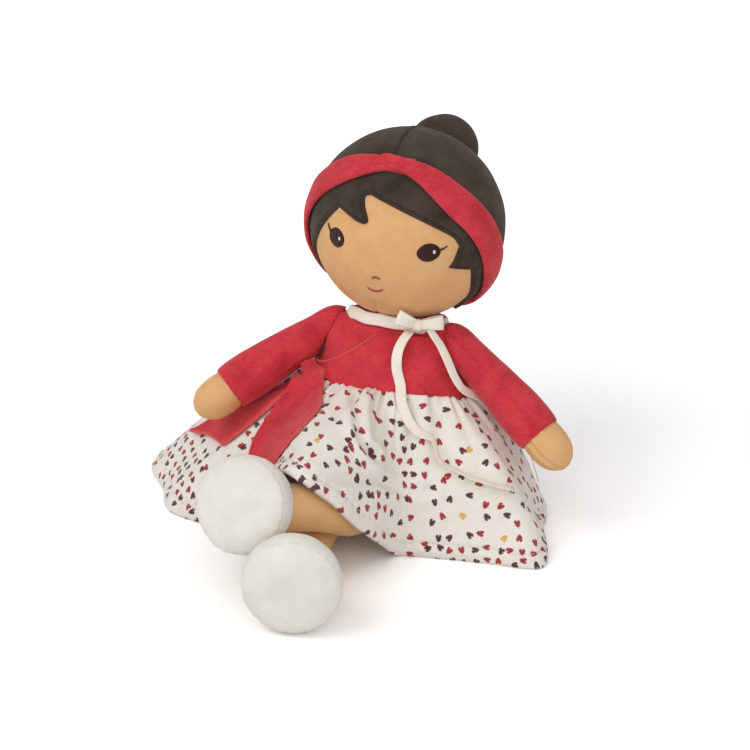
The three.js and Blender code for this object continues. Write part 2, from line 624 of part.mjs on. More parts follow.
// Sash
function sash() {
  const [across, deep, tall] = KNOT_SIZE;
  const out = vec(Math.cos(KNOT_TURN), Math.sin(KNOT_TURN), 0);
  const rim = torsoPlace(WAIST_WIDTH / 2 * out.x, WAIST_DEPTH / 2 * out.y, WAIST_RISE);
  const centre = rim.addScaledVector(out, CLEAR + VELOUR + deep / 2);
  centre.z += KNOT_RISE;
  const knot = (grow) => {
    const lump = new THREE.SphereGeometry(1, SMALL_SIDES, SMALL_RINGS);
    lump.scale(across / 2 + grow, deep / 2 + grow, tall / 2 + grow);
    lump.rotateZ(KNOT_TURN + Math.PI / 2);
    lump.translate(centre.x, centre.y, centre.z);
    return solid(lump);
  };
  const dress = torsoForm(BODICE, VELOUR + 2 * CLEAR, -VELOUR);
  piece('sash_knot', knot(0).subtract(dress), RED);

  for (const [name, { root, tip, width, taper, bow, skew }] of Object.entries(TAILS)) {
    const from = new THREE.Vector2(centre.x + root[0], centre.y + root[1]);
    const run = new THREE.Vector2(...tip).sub(from);
    const side = new THREE.Vector2(-run.y, run.x).normalize();
    const rings = steps(TAIL_RINGS, (t) => {
      const half = (width / 2) * Math.sin(Math.PI * (0.1 + taper * t));
      const marks = [-1, 0, 1].map((k) => {
        const at = from.clone().addScaledVector(run, t * (1 + k * skew));
        at.addScaledVector(side, k * half + bow * Math.sin(Math.PI * t));
        return vec(at.x, at.y, skirtHeight(at.x, at.y) + TAIL_LIFT);
      });
      const raised = marks.map((p) => p.clone().addScaledVector(UP, TAIL_THICK)).reverse();
      return [...marks, ...raised];
    });
    piece(`sash_tail_${name}`, skin(rings, true).subtract(knot(CLEAR)).subtract(dress), RED);
  }
}

// Ribbon round the neck with its bow
function neckRibbon() {
  const slab = (rise) => beyond(torsoAxis, torsoAxis.dot(torsoPlace(0, 0, rise)));
  const top = COLLAR_RISE - RIBBON_DROP;
  const ring = torsoForm(BODICE, CLEAR + SATIN).subtract(torsoForm(BODICE, CLEAR, -VELOUR, VELOUR));
  piece('neck_ribbon', ring.intersect(slab(top - RIBBON_RISE)).subtract(slab(top)), IVORY);

  const aim = [Math.cos(BOW_TURN), Math.sin(BOW_TURN)];
  const rise = COLLAR_RISE + BOW_LIFT;
  const outward = torsoPlace(aim[0], aim[1], rise).sub(torsoPlace(0, 0, rise));
  const sideways = torsoAxis.clone().cross(outward);
  const frame = new THREE.Matrix4().makeBasis(sideways, outward, torsoAxis);
  frame.setPosition(torsoPlace(BOW_OUT * aim[0], BOW_OUT * aim[1], rise));

  const lump = new THREE.SphereGeometry(1, SMALL_SIDES, SMALL_RINGS);
  lump.scale(BOW_KNOT / 2, BOW_DEEP / 2, RIBBON_WIDTH / 2);
  lump.applyMatrix4(frame);
  piece('bow_knot', solid(lump), IVORY);

  // A loop's outline, and its hollow one cloth further in
  const outline = (inset) => [
    [inset * 2, 0.15], [0.35 * BOW_LOOP, 0.5], [0.8 * BOW_LOOP - inset, 0.48], [BOW_LOOP - inset, 0],
    [0.8 * BOW_LOOP - inset, -0.48], [0.35 * BOW_LOOP, -0.5], [inset * 2, -0.15],
  ].map(([x, y]) => new THREE.Vector2(BOW_KNOT / 2 + CLEAR + x, y * (BOW_DEEP - 2 * inset)));
  for (const [name, side] of [['bow_loop_left', 1], ['bow_loop_right', -1]]) {
    const shape = new THREE.Shape(outline(0));
    shape.holes.push(new THREE.Path(outline(SATIN).reverse()));
    const loop = new THREE.ExtrudeGeometry(shape, { depth: RIBBON_WIDTH, bevelEnabled: false });
    loop.translate(0, 0, -RIBBON_WIDTH / 2);
    loop.scale(side, 1, 1);
    loop.applyMatrix4(frame);
    piece(name, solid(loop), IVORY);
  }
}

// A loose ribbon along its points, with its flat side to the doll
function ribbonTail(name, points) {
  const curve = new THREE.CatmullRomCurve3(points.map((p) => vec(...p)));
  const rings = steps(3 * points.length, (t) => {
    const place = curve.getPointAt(t);
    const along = curve.getTangentAt(t);
    const across = along.clone().cross(place.clone().sub(vec(...DEEP))).normalize();
    const over = across.clone().cross(along);
    return [[-1, -1], [1, -1], [1, 1], [-1, 1]].map(([i, j]) => place.clone()
      .addScaledVector(across, (i * RIBBON_WIDTH) / 2).addScaledVector(over, (j * SATIN) / 2));
  });
  piece(`ribbon_tail_${name}`, skin(rings, true), IVORY);
}

torso();
headPieces();
Object.entries(ARMS).forEach(([name, shape]) => arm(name, shape));
Object.entries(LEGS).forEach(([name, shape]) => legPieces(name, shape));
skirt();
sash();
neckRibbon();
Object.entries(RIBBON_TAILS).forEach(([name, points]) => ribbonTail(name, points));

export default doll;
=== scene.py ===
"""A seated cloth doll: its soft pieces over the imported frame. Modelled in millimetres, kept in metres."""
import json
import math

import bmesh
import bpy
import numpy as np
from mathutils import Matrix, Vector, geometry, noise
from mathutils.bvhtree import BVHTree


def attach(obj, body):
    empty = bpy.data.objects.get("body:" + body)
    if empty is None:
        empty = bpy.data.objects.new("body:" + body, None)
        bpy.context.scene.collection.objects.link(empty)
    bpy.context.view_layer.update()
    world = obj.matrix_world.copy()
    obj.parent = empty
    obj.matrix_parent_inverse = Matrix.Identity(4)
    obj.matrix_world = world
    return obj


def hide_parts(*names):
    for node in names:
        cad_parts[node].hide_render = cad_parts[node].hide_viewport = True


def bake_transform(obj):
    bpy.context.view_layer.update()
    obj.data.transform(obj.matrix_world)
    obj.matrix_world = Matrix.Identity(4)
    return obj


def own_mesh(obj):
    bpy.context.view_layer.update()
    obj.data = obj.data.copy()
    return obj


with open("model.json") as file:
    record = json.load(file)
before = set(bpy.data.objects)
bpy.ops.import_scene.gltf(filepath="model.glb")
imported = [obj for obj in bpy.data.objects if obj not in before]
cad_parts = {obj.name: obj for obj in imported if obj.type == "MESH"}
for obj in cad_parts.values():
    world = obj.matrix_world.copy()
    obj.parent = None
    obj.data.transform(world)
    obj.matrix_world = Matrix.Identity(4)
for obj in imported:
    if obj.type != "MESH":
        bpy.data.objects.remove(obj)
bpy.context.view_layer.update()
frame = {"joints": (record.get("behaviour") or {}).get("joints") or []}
PIVOT = {joint["name"]: np.array(joint["pos_m"]) * 1000 for joint in frame["joints"]}
rng = np.random.default_rng(11)

MM = 0.001
TAU = 2 * math.pi
LEFT = np.array([1.0, 0.0, 0.0])
UP = np.array([0.0, 0.0, 1.0])
SIDES = (("left", 1), ("right", -1))
rad = math.radians

# Camera: its turn, tip and distance, what it looks at across and up, focal length and picture in pixels
VIEW_TURN, VIEW_TIP, VIEW_FAR = rad(21.5), rad(25), 1200
VIEW_AT = (-2, 69)
VIEW_SHIFT = np.array([-2, 0, 0])
FOCUS, PICTURE, SENSOR = 2220, 750, 36
SIGHT = np.array([-math.sin(VIEW_TURN) * math.cos(VIEW_TIP), math.cos(VIEW_TURN) * math.cos(VIEW_TIP),
                  -math.sin(VIEW_TIP)])

# Lamps: place, aim, size and power, in metres and watts
LAMPS = {
    "key": ((-0.9, -1.0, 1.7), (0, 0, 0.08), 1.3, 12.5),
    "fill": ((1.6, -0.9, 0.9), (0, 0, 0.1), 1.4, 4),
    "front": ((0.3, -1.6, 0.4), (0, 0, 0.1), 1.6, 7.5),
}
FLOOR_FAR = 30
# Brightness of the floor and the room for the doll and for the camera, and where the floor turns white
FLOOR_LIT, FLOOR_SEEN, FLOOR_WHITE = 0.8, 1.25, 1.66
FLOOR_FADE = (0.15, 0.6)
ROOM_LIT, ROOM_SEEN = 0.62, 1.0

# Cloths: thickness, the room between two of them, size of the nap's clouds and of the fibres, usual filling
VELOUR = 1.6
SATIN = 0.7
CLEAR = 0.3
NAP = 14
FIBRE = 0.55
STUFFED = 0.85

# Hearts of the print: half width and half height; then cell, shift, unevenness and crowding of each layer
HEART = (1.45, 1.85)
HEART_LAYERS = ((9.6, 0.0, 0.7, False), (6.3, 37.0, 0.5, True))

# Torso along its leaning axis: rise, width, depth
LEAN = rad(14)
AXIS = np.array([0, math.sin(LEAN), math.cos(LEAN)])
SEAT_BACK = 8
WAIST = (70, 86, 64)
HIPS = [(0, 84, 64), (26, 96, 74), WAIST]
BODICE = [WAIST, (84, 77, 56), (95, 65, 46), (101, 42, 36)]
COLLAR = BODICE[-1]
# The waist seam hangs down at the left side and in front: depth, angle, half width in degrees
WAIST_SAG = ((6, 5, 55), (4.3, -115, 45))

# Wrapped panel: start of its edge below the collar, slope, highest rise, rows of its ground and its cloth
WRAP_DROP = 1
WRAP_SLOPE = rad(33)
WRAP_TOP = 96.3
WRAP_ROWS, WRAP_CUTS = 160, 44

# Head
HEAD = 49.5
HEAD_RISE = 50.2
HEAD_TURN = rad(4)
NECK = PIVOT["neck_turn"]
NECK_HALF = 13
HEAD_CENTRE = NECK + AXIS * HEAD_RISE
CHEEKS = [(-28, -31, -26), (27, -35, -22)]
CHEEK_REACH = 20
HOOD = HEAD + CLEAR + VELOUR
HOOD_ROWS, HOOD_COLS = 80, 220
HAIR_TILT = rad(25)
HAIR_AIM = np.array([0, -math.cos(HAIR_TILT), -math.sin(HAIR_TILT)])
HAIR_TOP = np.array([0, -math.sin(HAIR_TILT), math.cos(HAIR_TILT)])
HAIR_EDGE = 6.5
NAPE = 38
BUN = 19.2
BUN_TILT = rad(27)
BUN_OUT = 57
BUN_SHIFT = [4.6, 0, -0.6]
BAND_WIDTH = 18
BAND_FORWARD = 2.2
BAND_THICK = 3.4
BAND_SLIDE = 6.5
BAND_LEAD, BAND_REACH = rad(16), rad(145)
# Creases of the headband's twist: place across, depth, run
BAND_CREASES = ((0.4, 1.2, 0.4), (-0.3, 0.8, 0.6), (0.05, 0.9, 0.3))
TWIST_SLANT = rad(40)
# Eyes: place across and up, half width, half height, course of the lash from the eye's middle
EYES = {
    "left": (24.0, 3.4, 5.3, 5.0, [(5.0, 0.9), (6.7, 1.5), (8.1, 2.4)]),
    "right": (-25.2, 5.5, 4.7, 5.2, [(-3.8, 2.2), (-5.0, 3.7), (-5.9, 5.2)]),
}
# Stitched arcs of the face: middle, radius, angles of the ends
ARCS = {"nose_stitch": ((-2.4, -14), 2.8, 40, 140), "mouth_stitch": ((-3.4, -14.6), 5.6, 222, 318)}
HAIRLINE = [
    (-38, -31), (-42.5, -18.5), (-41.5, -5.8), (-36.6, 5.3), (-31, 13.3), (-25, 20.2), (-18.6, 18.2),
    (-13.5, 16.4), (-9.2, 15.8), (-7, 17.5), (-9.9, 24.7), (-10.4, 28.5), (-7.6, 29.4), (4.6, 25.4),
    (16.4, 20.6), (27.3, 14.6), (34.6, 9.1), (37, 4.5), (34.7, -2.8), (32.6, -6.3), (41.4, -10.4),
    (40.8, -17), (37.5, -29), (27.7, -40),
]
HAIR_CORNERS = [0, 5, 8, 12, 17, 19, 20, len(HAIRLINE) - 1]
HAIR_STEP = 0.8
HAIR_SEWN = 2.0

# Arms: side, aim, angle of the sleeve's seam, angle of the mitten's seam
ARM_LENGTH = 88
ARM_BOW = 2
ARMHOLE_TILT = rad(25)
ARMS = {"left": (1, (64, -18, -48), 47, 4), "right": (-1, (-57, -52, -39), 205, 88)}
# Sleeve, its turned edge and the mitten: distance from the shoulder, half width
SLEEVE = [(-9, 5.5), (-5.4, 8.2), (0, 9.6), (13, 9.8), (30, 11.2), (50, 12.7), (62, 12.5), (66, 11.9)]
CUFF = [(66.6, 11.2), (66.3, 10.3)]
MITTEN = [(62.5, 10.4), (66.2, 10.9), (70, 11.3), (74, 11.3), (81, 9.8), (85.6, 6.3), (88, 2.2)]

# Legs: path, foot, aim; half width and half height at the hip, and the length that they take to fill out
LEG_HALF = 12
LEG_HIP = (9, 2.2)
LEG_FILLS = 34
# The left calf sags: which way, how far, at which length, over which length
CALF_WAY = np.array([0.5, 0.1, -0.86])
CALF_SAG, CALF_AT, CALF_RUN = 6, 44, 20
LEGS = {
    "left": ([(18, -25.5, 11), (7.5, -58, 31), (-8, -89, 41), (-23, -100, 44)],
             (-30.5, -104, 45.5), (-0.1, -0.9, 0.42)),
    "right": ([(-18, -25.5, 12.3), (-11, -74, 12.3), (0, -113, 12.5), (3.5, -127, 15)],
              (5, -131, 25), (0.25, -0.96, 0.06)),
}
# Booties: radius, distance behind the seam between sole and upper
FOOT = 24.6
DOME = 8
HEEL = 26
SOLE = [(0.3, -DOME - 0.3), (0.45 * FOOT, -0.95 * DOME), (0.8 * FOOT, -0.66 * DOME),
        (0.97 * FOOT, -0.22 * DOME), (0.985 * FOOT, -0.3), (0.95 * FOOT, 0.3)]
UPPER = [(0.95 * FOOT, -0.2), (0.985 * FOOT, 0.4), (1.012 * FOOT, 0.12 * HEEL), (FOOT, 0.26 * HEEL),
         (0.93 * FOOT, 0.5 * HEEL), (0.68 * FOOT, 0.84 * HEEL), (0.34 * FOOT, 0.97 * HEEL), (0.3, HEEL)]

# Skirt: the course of its hem from the left front corner round the back
SKIRT_ROWS, SKIRT_COLS = 72, 480
HEM = [
    (100, -34, 0), (92, -6, 0), (82, 20, 0), (65, 50, 0), (35, 74, 0), (-5, 82, 0), (-60, 76, 0),
    (-110, 48, 0), (-132, 6, 0), (-124, -22, 0), (-104, -45, 0), (-78, -57, 1), (-54, -66, 12),
    (-36, -72, 38), (-20, -83, 56), (-7, -93.5, 58), (2, -95, 51), (8.5, -91, 44), (13, -85, 37),
    (18, -75, 26), (22, -63, 12), (27, -51, 1), (35, -46, 0), (53, -43, 0), (78, -40, 0),
]
LEG_GAP = 3.2
SKIRT_SWELL = 6
HEM_WAVES, HEM_WAVE = 12, 3
LEFT_KNEE = (40, -50)
GATHERS = (31, 38, 47, 56)
# Folds from the waist: angle, depth, half width in degrees, run
WAIST_FOLDS = (
    (-121, 1.6, 3.4, 0.45), (-96, 2.6, 3.6, 0.62), (-80, 1.8, 3.0, 0.4), (-62, 2.2, 3.4, 0.5),
    (-44, 1.8, 3.2, 0.45), (-20, 2.0, 4.0, 0.5), (15, 2.0, 4.0, 0.5), (60, 2.2, 4.5, 0.6),
    (100, 2.2, 4.5, 0.6), (140, 2.2, 4.5, 0.6), (-150, 2.0, 4.0, 0.6), (175, 2.0, 4.0, 0.6),
)
# Folds that the photograph shows: course, depth, half width
SKIRT_FOLDS = [
    ([(-5.4, -25, 77.9), (3, -43.2, 73.3), (8.1, -53.1, 66.3), (12.1, -53.6, 61), (15.4, -51.1, 55.9)],
     3.0, 2.4),
    ([(-8, -94.2, 58.7), (8.1, -78.7, 53.7), (19.9, -54, 42.7), (40.7, -36.7, 33)], 2.0, 2.4),
]
HEM_STITCH = 7.5
# The print's plan: its inner radius, and the hem's places where each part lies straight and where they meet
PLAN_INNER = 55
PLAN_RIGHT, PLAN_SEAM, PLAN_LEFT = (-95, -48), (-36, -72), (40, -46)

# Ribbon tails, from the bow to their ends, and a place deep inside the doll that they lie away from
RIBBON = 6
TAILS = {
    "right": [(15.2, 0.6, 104), (13.4, -4.5, 101), (12.2, -9.3, 96), (12.8, -12.6, 88), (16, -15.4, 80.5),
              (19, -21, 73), (25, -24.7, 64), (31, -25.7, 59.6), (37.2, -25.2, 57.4), (40, -27.8, 52.8),
              (43.5, -29.8, 48), (50.6, -28.7, 44.4), (58.5, -27.7, 41.3), (66.6, -27.3, 39.7),
              (74.3, -26, 38.3), (81.5, -23.6, 36.2)],
    "left": [(24.6, 4.4, 105), (27, 3.8, 102), (31, 2.6, 98), (36, 0, 91.5), (41.5, -2.2, 82.5),
             (45.5, -0.6, 76), (47.5, 3.2, 73), (50.2, 7.7, 69.7), (54, 13.5, 64.2), (60, 19.4, 56.8),
             (66, 25.2, 46), (70, 28.8, 36), (73.2, 31.8, 25), (76.3, 34, 12.5)],
}
DEEP = np.array([0.0, 20.0, 30.0])

# Bow: its turn, distance and lift at the collar, the course of a loop, each loop's tilt
BOW_TURN = rad(-50)
BOW_OUT = 29
BOW_LIFT = 2.2
BOW_LOOP = [(1.2, 0.5), (4.5, 1.5), (9, 1.9), (12.4, 1.1), (13.2, 0.0), (12.4, -1.1), (8.5, -1.8),
            (4, -1.4), (1.2, -0.5)]
LOOP_TILT = {"left": 0.16, "right": 0.34}
RIBBON_RISE, RIBBON_TALL = 98, 6.4

# Sash: each tail's root and tip as seen from above, its width, where its taper starts and how far it goes,
# sideways bow, skew of its end, how far, where and how long one side swells, how far the root is raised
SASH = {
    "front": dict(root=(-35.8, -10.9), tip=(-28, -66), width=36, narrow=0.13, taper=0.77, bow=-9, skew=0,
                  swell=(6.0, 0.68, 0.3), raised=4.6),
    "side": dict(root=(-41.8, -10.6), tip=(-94, -20), width=22, narrow=0.1, taper=0.5, bow=0, skew=-0.25,
                 swell=(7.0, 1.0, 0.55), raised=2.2),
}
KNOT = np.array([-37.8, -7.6, 77.0])
KNOT_TURN = rad(220)
KNOT_HALF = (4.9, 6.4, 4.9)
KNOT_PULL = 10


def srgb(*levels):
    steps = [level / 255 for level in levels]
    return tuple(s / 12.92 if s <= 0.04045 else ((s + 0.055) / 1.055) ** 2.4 for s in steps) + (1.0,)


def grey(level):
    return (level, level, level, 1)


# Materials
class Sock:
    """A node's output that takes part in sums; make() adds any other node."""

    def __init__(self, tree, out):
        self.tree = tree
        self.out = out

    def make(self, kind, settings, inputs, out=0):
        node = self.tree.nodes.new(kind)
        for key, value in settings.items():
            setattr(node, key, value)
        for key, value in inputs.items():
            if isinstance(value, Sock):
                self.tree.links.new(value.out, node.inputs[key])
            else:
                node.inputs[key].default_value = value
        return Sock(self.tree, node.outputs[out])

    def math(self, operation, *values):
        return self.make("ShaderNodeMath", {"operation": operation}, dict(enumerate(values)))

    def vector(self, operation, *values, out=0):
        return self.make("ShaderNodeVectorMath", {"operation": operation}, dict(enumerate(values)), out)

    def __add__(self, other):
        return self.math("ADD", self, other)

    def __sub__(self, other):
        return self.math("SUBTRACT", self, other)

    def __rsub__(self, other):
        return self.math("SUBTRACT", other, self)

    def __mul__(self, other):
        return self.math("MULTIPLY", self, other)

    __radd__ = __add__
    __rmul__ = __mul__

    def mix(self, low, high):
        return self.make("ShaderNodeMix", {"data_type": "RGBA"}, {0: self, 6: low, 7: high}, 2)

    def ramp(self, start, end):
        ends = {"From Min": start, "From Max": end}
        settings = {"interpolation_type": "SMOOTHSTEP"}
        return self.make("ShaderNodeMapRange", settings, {"Value": self, **ends})

    def noise(self, size, detail=2.0, stretch=(1, 1, 1)):
        place = self.vector("MULTIPLY", self, stretch)
        inputs = {"Vector": place, "Scale": 1 / (size * MM), "Detail": detail, "Roughness": 0.6}
        return self.make("ShaderNodeTexNoise", {}, inputs)

    def parts(self):
        return [self.make("ShaderNodeSeparateXYZ", {}, {0: self}, out) for out in range(3)]

    def distance(self, point):
        return self.vector("DISTANCE", self, point, out=1)


def source(tree, kind, out):
    return Sock(tree, tree.nodes.new(kind).outputs[out])


def material(name, build, slot=None, **constants):
    made = bpy.data.materials.new(name)
    made.use_nodes = True
    tree = made.node_tree
    shader = tree.nodes["Principled BSDF"]
    for key, value in constants.items():
        shader.inputs[key.replace("_", " ")].default_value = value
    place = source(tree, "ShaderNodeTexCoord", "Object")
    colour, rough, height = build(place)
    bump = place.make("ShaderNodeBump", {}, {"Strength": 1.0, "Distance": MM, "Height": height})
    for made_of, label in ((colour, "Base Color"), (rough, "Roughness"), (bump, "Normal")):
        tree.links.new(made_of.out, shader.inputs[label])
    return made


def velour(low, high, pile=0.5, grain=(1, 1, 0.45)):
    def build(place):
        nap = place.noise(NAP, 3)
        fibre = place.noise(FIBRE, 2, grain)
        shade = (nap * 0.6 + fibre * 0.4).ramp(0.3, 0.7)
        # Painted highlight: the colour is lighter along folded edges
        painted_highlight = place.make("ShaderNodeAttribute", {"attribute_name": "painted_highlight"}, {}, "Fac")
        colour = (painted_highlight * 0.5).mix(shade.mix(low, high), srgb(240, 128, 122))
        return colour, 0.8 + fibre * 0.2, fibre * pile + nap * 0.5
    return build


def jersey(blush=()):
    def build(place):
        across, back, up = place.parts()
        wale = place.math("SINE", (across + back * 0.35) * (TAU / (0.95 * MM)))
        course = place.math("SINE", up * (TAU / (0.8 * MM)))
        cloudy = place.noise(9, 3)
        grain = place.noise(0.8, 2)
        tone = (0.5 + wale * 0.05 + course * 0.03 + (cloudy - 0.5) * 0.5 + (grain - 0.5) * 0.4).ramp(0, 1)
        colour = tone.mix(srgb(207, 155, 101), srgb(231, 185, 133))
        for point in blush:
            away = place.distance(tuple(point * MM)).ramp(CHEEK_REACH * 0.25 * MM, CHEEK_REACH * MM)
            colour = ((1 - away) * 0.16).mix(colour, srgb(222, 120, 95))
        return colour, 0.78 + grain * 0.2, wale * 0.03 + course * 0.02 + grain * 0.12
    return build


def printed(place):
    """Cream velour with scattered little hearts, laid out by a seeded cell pattern on the cloth's plan."""
    plan = place.make("ShaderNodeUVMap", {"uv_map": "cloth"}, {})
    fibre = place.noise(FIBRE, 2)
    nap = place.noise(NAP, 3)
    colour = (nap * 0.5 + fibre * 0.5).ramp(0.3, 0.7).mix(srgb(229, 221, 210), srgb(241, 235, 228))
    for cell, shift, uneven, crowded in HEART_LAYERS:
        spread = plan.vector("MULTIPLY_ADD", plan, (1 / cell,) * 3, (shift,) * 3)
        inputs = {"Vector": spread, "Scale": 1.0, "Randomness": uneven}
        chance, centre = (plan.make("ShaderNodeTexVoronoi", {"voronoi_dimensions": "2D"}, inputs, out)
                          for out in ("Color", "Position"))
        # The hearts crowd in patches towards the hem, told by each heart's own place
        heart_at = plan.vector("MULTIPLY_ADD", centre, (cell, cell, 0), (-shift * cell, -shift * cell, 0))
        away = plan.vector("LENGTH", heart_at, out=1)
        patch = plan.make("ShaderNodeTexNoise", {}, {"Vector": heart_at, "Scale": 1 / 26, "Detail": 0.0})
        crowd = (patch + (away - 60) * 0.0023).ramp(0.6799, 0.6801)
        kept = crowd if crowded else 1 - crowd
        first, second, third = chance.parts()
        turned = plan.make("ShaderNodeVectorRotate", {"rotation_type": "Z_AXIS"},
                           {"Vector": plan.vector("SUBTRACT", spread, centre), "Angle": first * TAU})
        x, y, _ = turned.parts()
        x = x * (cell / HEART[0])
        y = y * (cell / HEART[1])
        round_part = x * x + y * y - 1.0
        heart = round_part * round_part * round_part - x * x * y * y * y
        mask = (1 - heart.ramp(-0.10, 0.06)) * kept
        dark = second.ramp(0.5, 0.51).mix(srgb(160, 36, 42), srgb(82, 34, 46))
        tint = third.ramp(0.955, 0.965).mix(dark, srgb(222, 172, 84))
        colour = (mask * (0.84 + fibre * 0.26)).mix(colour, tint)
    return colour, 0.82 + fibre * 0.18, fibre * 0.4 + nap * 0.5


def satin(place):
    thread = place.noise(0.35, 1, (1, 1, 0.3))
    cloudy = place.noise(8, 2)
    tone = (thread * 0.5 + cloudy * 0.5).ramp(0.25, 0.75)
    return tone.mix(srgb(232, 220, 203), srgb(243, 236, 225)), 0.42 + cloudy * 0.25, thread * 0.14


def threads(low, high, pitch, slant):
    def build(place):
        across, _, up = place.parts()
        strand = place.math("SINE", (across * slant + up) * (TAU / (pitch * MM)))
        fuzz = place.noise(0.6, 2)
        tone = (0.5 + strand * 0.3 + (fuzz - 0.5) * 0.7).ramp(0, 1)
        return tone.mix(low, high), 0.45 + fuzz * 0.3, strand * 0.10 + fuzz * 0.08
    return build


def head_place(local):
    c, s = math.cos(HEAD_TURN), math.sin(HEAD_TURN)
    return np.asarray(local, float) @ np.array([[c, s, 0], [-s, c, 0], [0, 0, 1]]) + HEAD_CENTRE


CLOTH = {"Specular_IOR_Level": 0.25, "Sheen_Roughness": 0.45}
TAN = {"Sheen_Weight": 0.15, "Sheen_Tint": srgb(255, 220, 180), **CLOTH}
RED = material("red_velour", velour(srgb(180, 36, 48), srgb(217, 62, 72), 0.5, (0.3, 0.3, 1)),
               Sheen_Weight=0.4, Sheen_Tint=srgb(255, 170, 170), **CLOTH)
CREAM = material("cream_velour", velour(srgb(221, 216, 206), srgb(234, 230, 222), 0.22),
                 Sheen_Weight=0.2, **CLOTH)
HAIR = material("hair_velour", velour(srgb(44, 34, 30), srgb(76, 62, 54)),
                Sheen_Weight=0.25, Sheen_Tint=srgb(200, 180, 165), **CLOTH)
SKIN = material("jersey", jersey(), **TAN)
FACE = material("jersey_face", jersey(head_place(CHEEKS)), "jersey", **TAN)
PRINT = material("printed_velour", printed, "cream_velour", Sheen_Weight=0.2, **CLOTH)
IVORY = material("ribbon_satin", satin, Specular_IOR_Level=0.4, Sheen_Weight=0.1)
EYE = material("eye_thread", threads(srgb(34, 10, 10), srgb(70, 28, 26), 0.5, 0.4), Specular_IOR_Level=0.4)
GLINT = material("glint_thread", threads(srgb(235, 233, 230), srgb(255, 255, 255), 0.5, 0.4), "eye_thread")
MOUTH = material("mouth_thread", threads(srgb(160, 58, 66), srgb(200, 92, 92), 0.6, 1.0))
HAIR_THREAD = material("hair_thread", threads(srgb(22, 17, 15), srgb(44, 35, 31), 0.4, 1.0), "hair_velour")
HEM_THREAD = material("hem_thread", threads(srgb(222, 212, 196), srgb(246, 240, 228), 0.4, 1.0),
                      "cream_velour")


# Numbers
def unit(v):
    return v / np.linalg.norm(v, axis=-1, keepdims=True)


def circle(count):
    return np.arange(count) * TAU / count


def ramp(x, start, end):
    return np.clip((x - start) / (end - start), 0, 1)


def eased(x):
    return x * x * (3 - 2 * x)


def bulge(t, centre, width):
    return np.exp(-(((t - centre) / width) ** 2))


def rounded(away, radius):
    """The height of a rounded rim: 0 at its edge, 1 a radius away from it."""
    return np.sqrt(1 - (1 - np.clip(away / radius, 0, 1)) ** 2)


def squared(v, power):
    """A power that keeps the sign, to square off a circle."""
    return np.sign(v) * np.abs(v) ** power


def degrees_from(angles, middle):
    return (np.degrees(angles) - middle + 180) % 360 - 180


def spline(points, count, closed=False):
    """Evenly spaced places on a smooth curve through the points."""
    p = np.array(points, float)
    ends = [p[-1:], p, p[:2]] if closed else [2 * p[:1] - p[1:2], p, 2 * p[-1:] - p[-2:-1]]
    p = np.vstack(ends)
    t = np.linspace(0, 1, 32, endpoint=False)[:, None]
    dense = []
    for a, b, c, d in zip(p, p[1:], p[2:], p[3:]):
        e, f, g = (max(np.linalg.norm(q) ** 0.5, 1e-6) for q in (b - a, c - b, d - c))
        start = ((b - a) / e - (c - a) / (e + f) + (c - b) / f) * f
        end = ((c - b) / f - (d - b) / (f + g) + (d - c) / g) * f
        bend = 3 * (c - b) - 2 * start - end
        dense.append(b + t * start + t**2 * bend + t**3 * (2 * (b - c) + start + end))
    dense = np.vstack(dense + [p[-2:-1]])
    run = lengths(dense)
    at = np.linspace(0, run[-1], count, endpoint=not closed)
    return np.stack([np.interp(at, run, column) for column in dense.T], -1)


def lengths(path):
    return np.append(0, np.cumsum(np.linalg.norm(np.diff(path, axis=0), axis=1)))


def lumps(points, size, amount, seed=0.0):
    """A smooth uneven field over the points, for cloth that isn't perfectly even."""
    flat = np.asarray(points).reshape(-1, 3) / size + seed
    return amount * np.array([noise.noise(Vector(p)) for p in flat]).reshape(np.shape(points)[:-1])


def normals(grid, wrap=True):
    along = np.gradient(grid, axis=0)
    if wrap:
        across = np.roll(grid, -1, 1) - np.roll(grid, 1, 1)
    else:
        across = np.gradient(grid, axis=1)
    n = np.cross(across, along)
    n /= np.maximum(np.linalg.norm(n, axis=-1, keepdims=True), 1e-9)
    return n if ((grid - grid.mean((0, 1))) * n).sum() > 0 else -n


def to_lines(points, start, end):
    """Each point's distance to the nearest of some line pieces."""
    best = np.full(len(points), 1e9)
    for a, b in zip(start, end):
        run = b - a
        t = np.clip(((points - a) @ run) / max(run @ run, 1e-9), 0, 1)
        best = np.minimum(best, np.linalg.norm(points - a - t[:, None] * run, axis=1))
    return best


def inside(points, outline):
    hit = np.zeros(len(points), bool)
    for a, b in zip(outline, np.roll(outline, -1, 0)):
        crossing = (a[1] > points[:, 1]) != (b[1] > points[:, 1])
        x = (b[0] - a[0]) * (points[:, 1] - a[1]) / (b[1] - a[1] + 1e-12) + a[0]
        hit ^= crossing & (points[:, 0] < x)
    return hit


def ball_grid(rows, cols, axis=UP):
    """Directions over a sphere, row by row from the axis."""
    side = unit(np.cross(axis, LEFT))
    other = np.cross(axis, side)
    theta = np.linspace(0.02, math.pi - 0.02, rows)[:, None, None]
    phi = circle(cols)[None, :, None]
    return np.cos(theta) * axis + np.sin(theta) * (np.cos(phi) * side + np.sin(phi) * other)


# Objects
def add(name, data):
    obj = bpy.data.objects.new(name, data)
    bpy.context.scene.collection.objects.link(obj)
    return obj


def aim_along(obj, way):
    obj.rotation_euler = Vector(way).to_track_quat("-Z", "Y").to_euler()


def mesh_object(name, points, faces):
    mesh = bpy.data.meshes.new(name)
    mesh.from_pydata((np.asarray(points) * MM).tolist(), [], faces)
    work = bmesh.new()
    work.from_mesh(mesh)
    bmesh.ops.recalc_face_normals(work, faces=work.faces)
    work.to_mesh(mesh)
    work.free()
    mesh.shade_smooth()
    return add(name, mesh)


def mark_painted_highlight(obj, amount):
    # Stores where the velour's colour gets its painted highlight
    values = obj.data.attributes.new("painted_highlight", "FLOAT", "POINT").data
    values.foreach_set("value", np.asarray(amount, float).ravel())


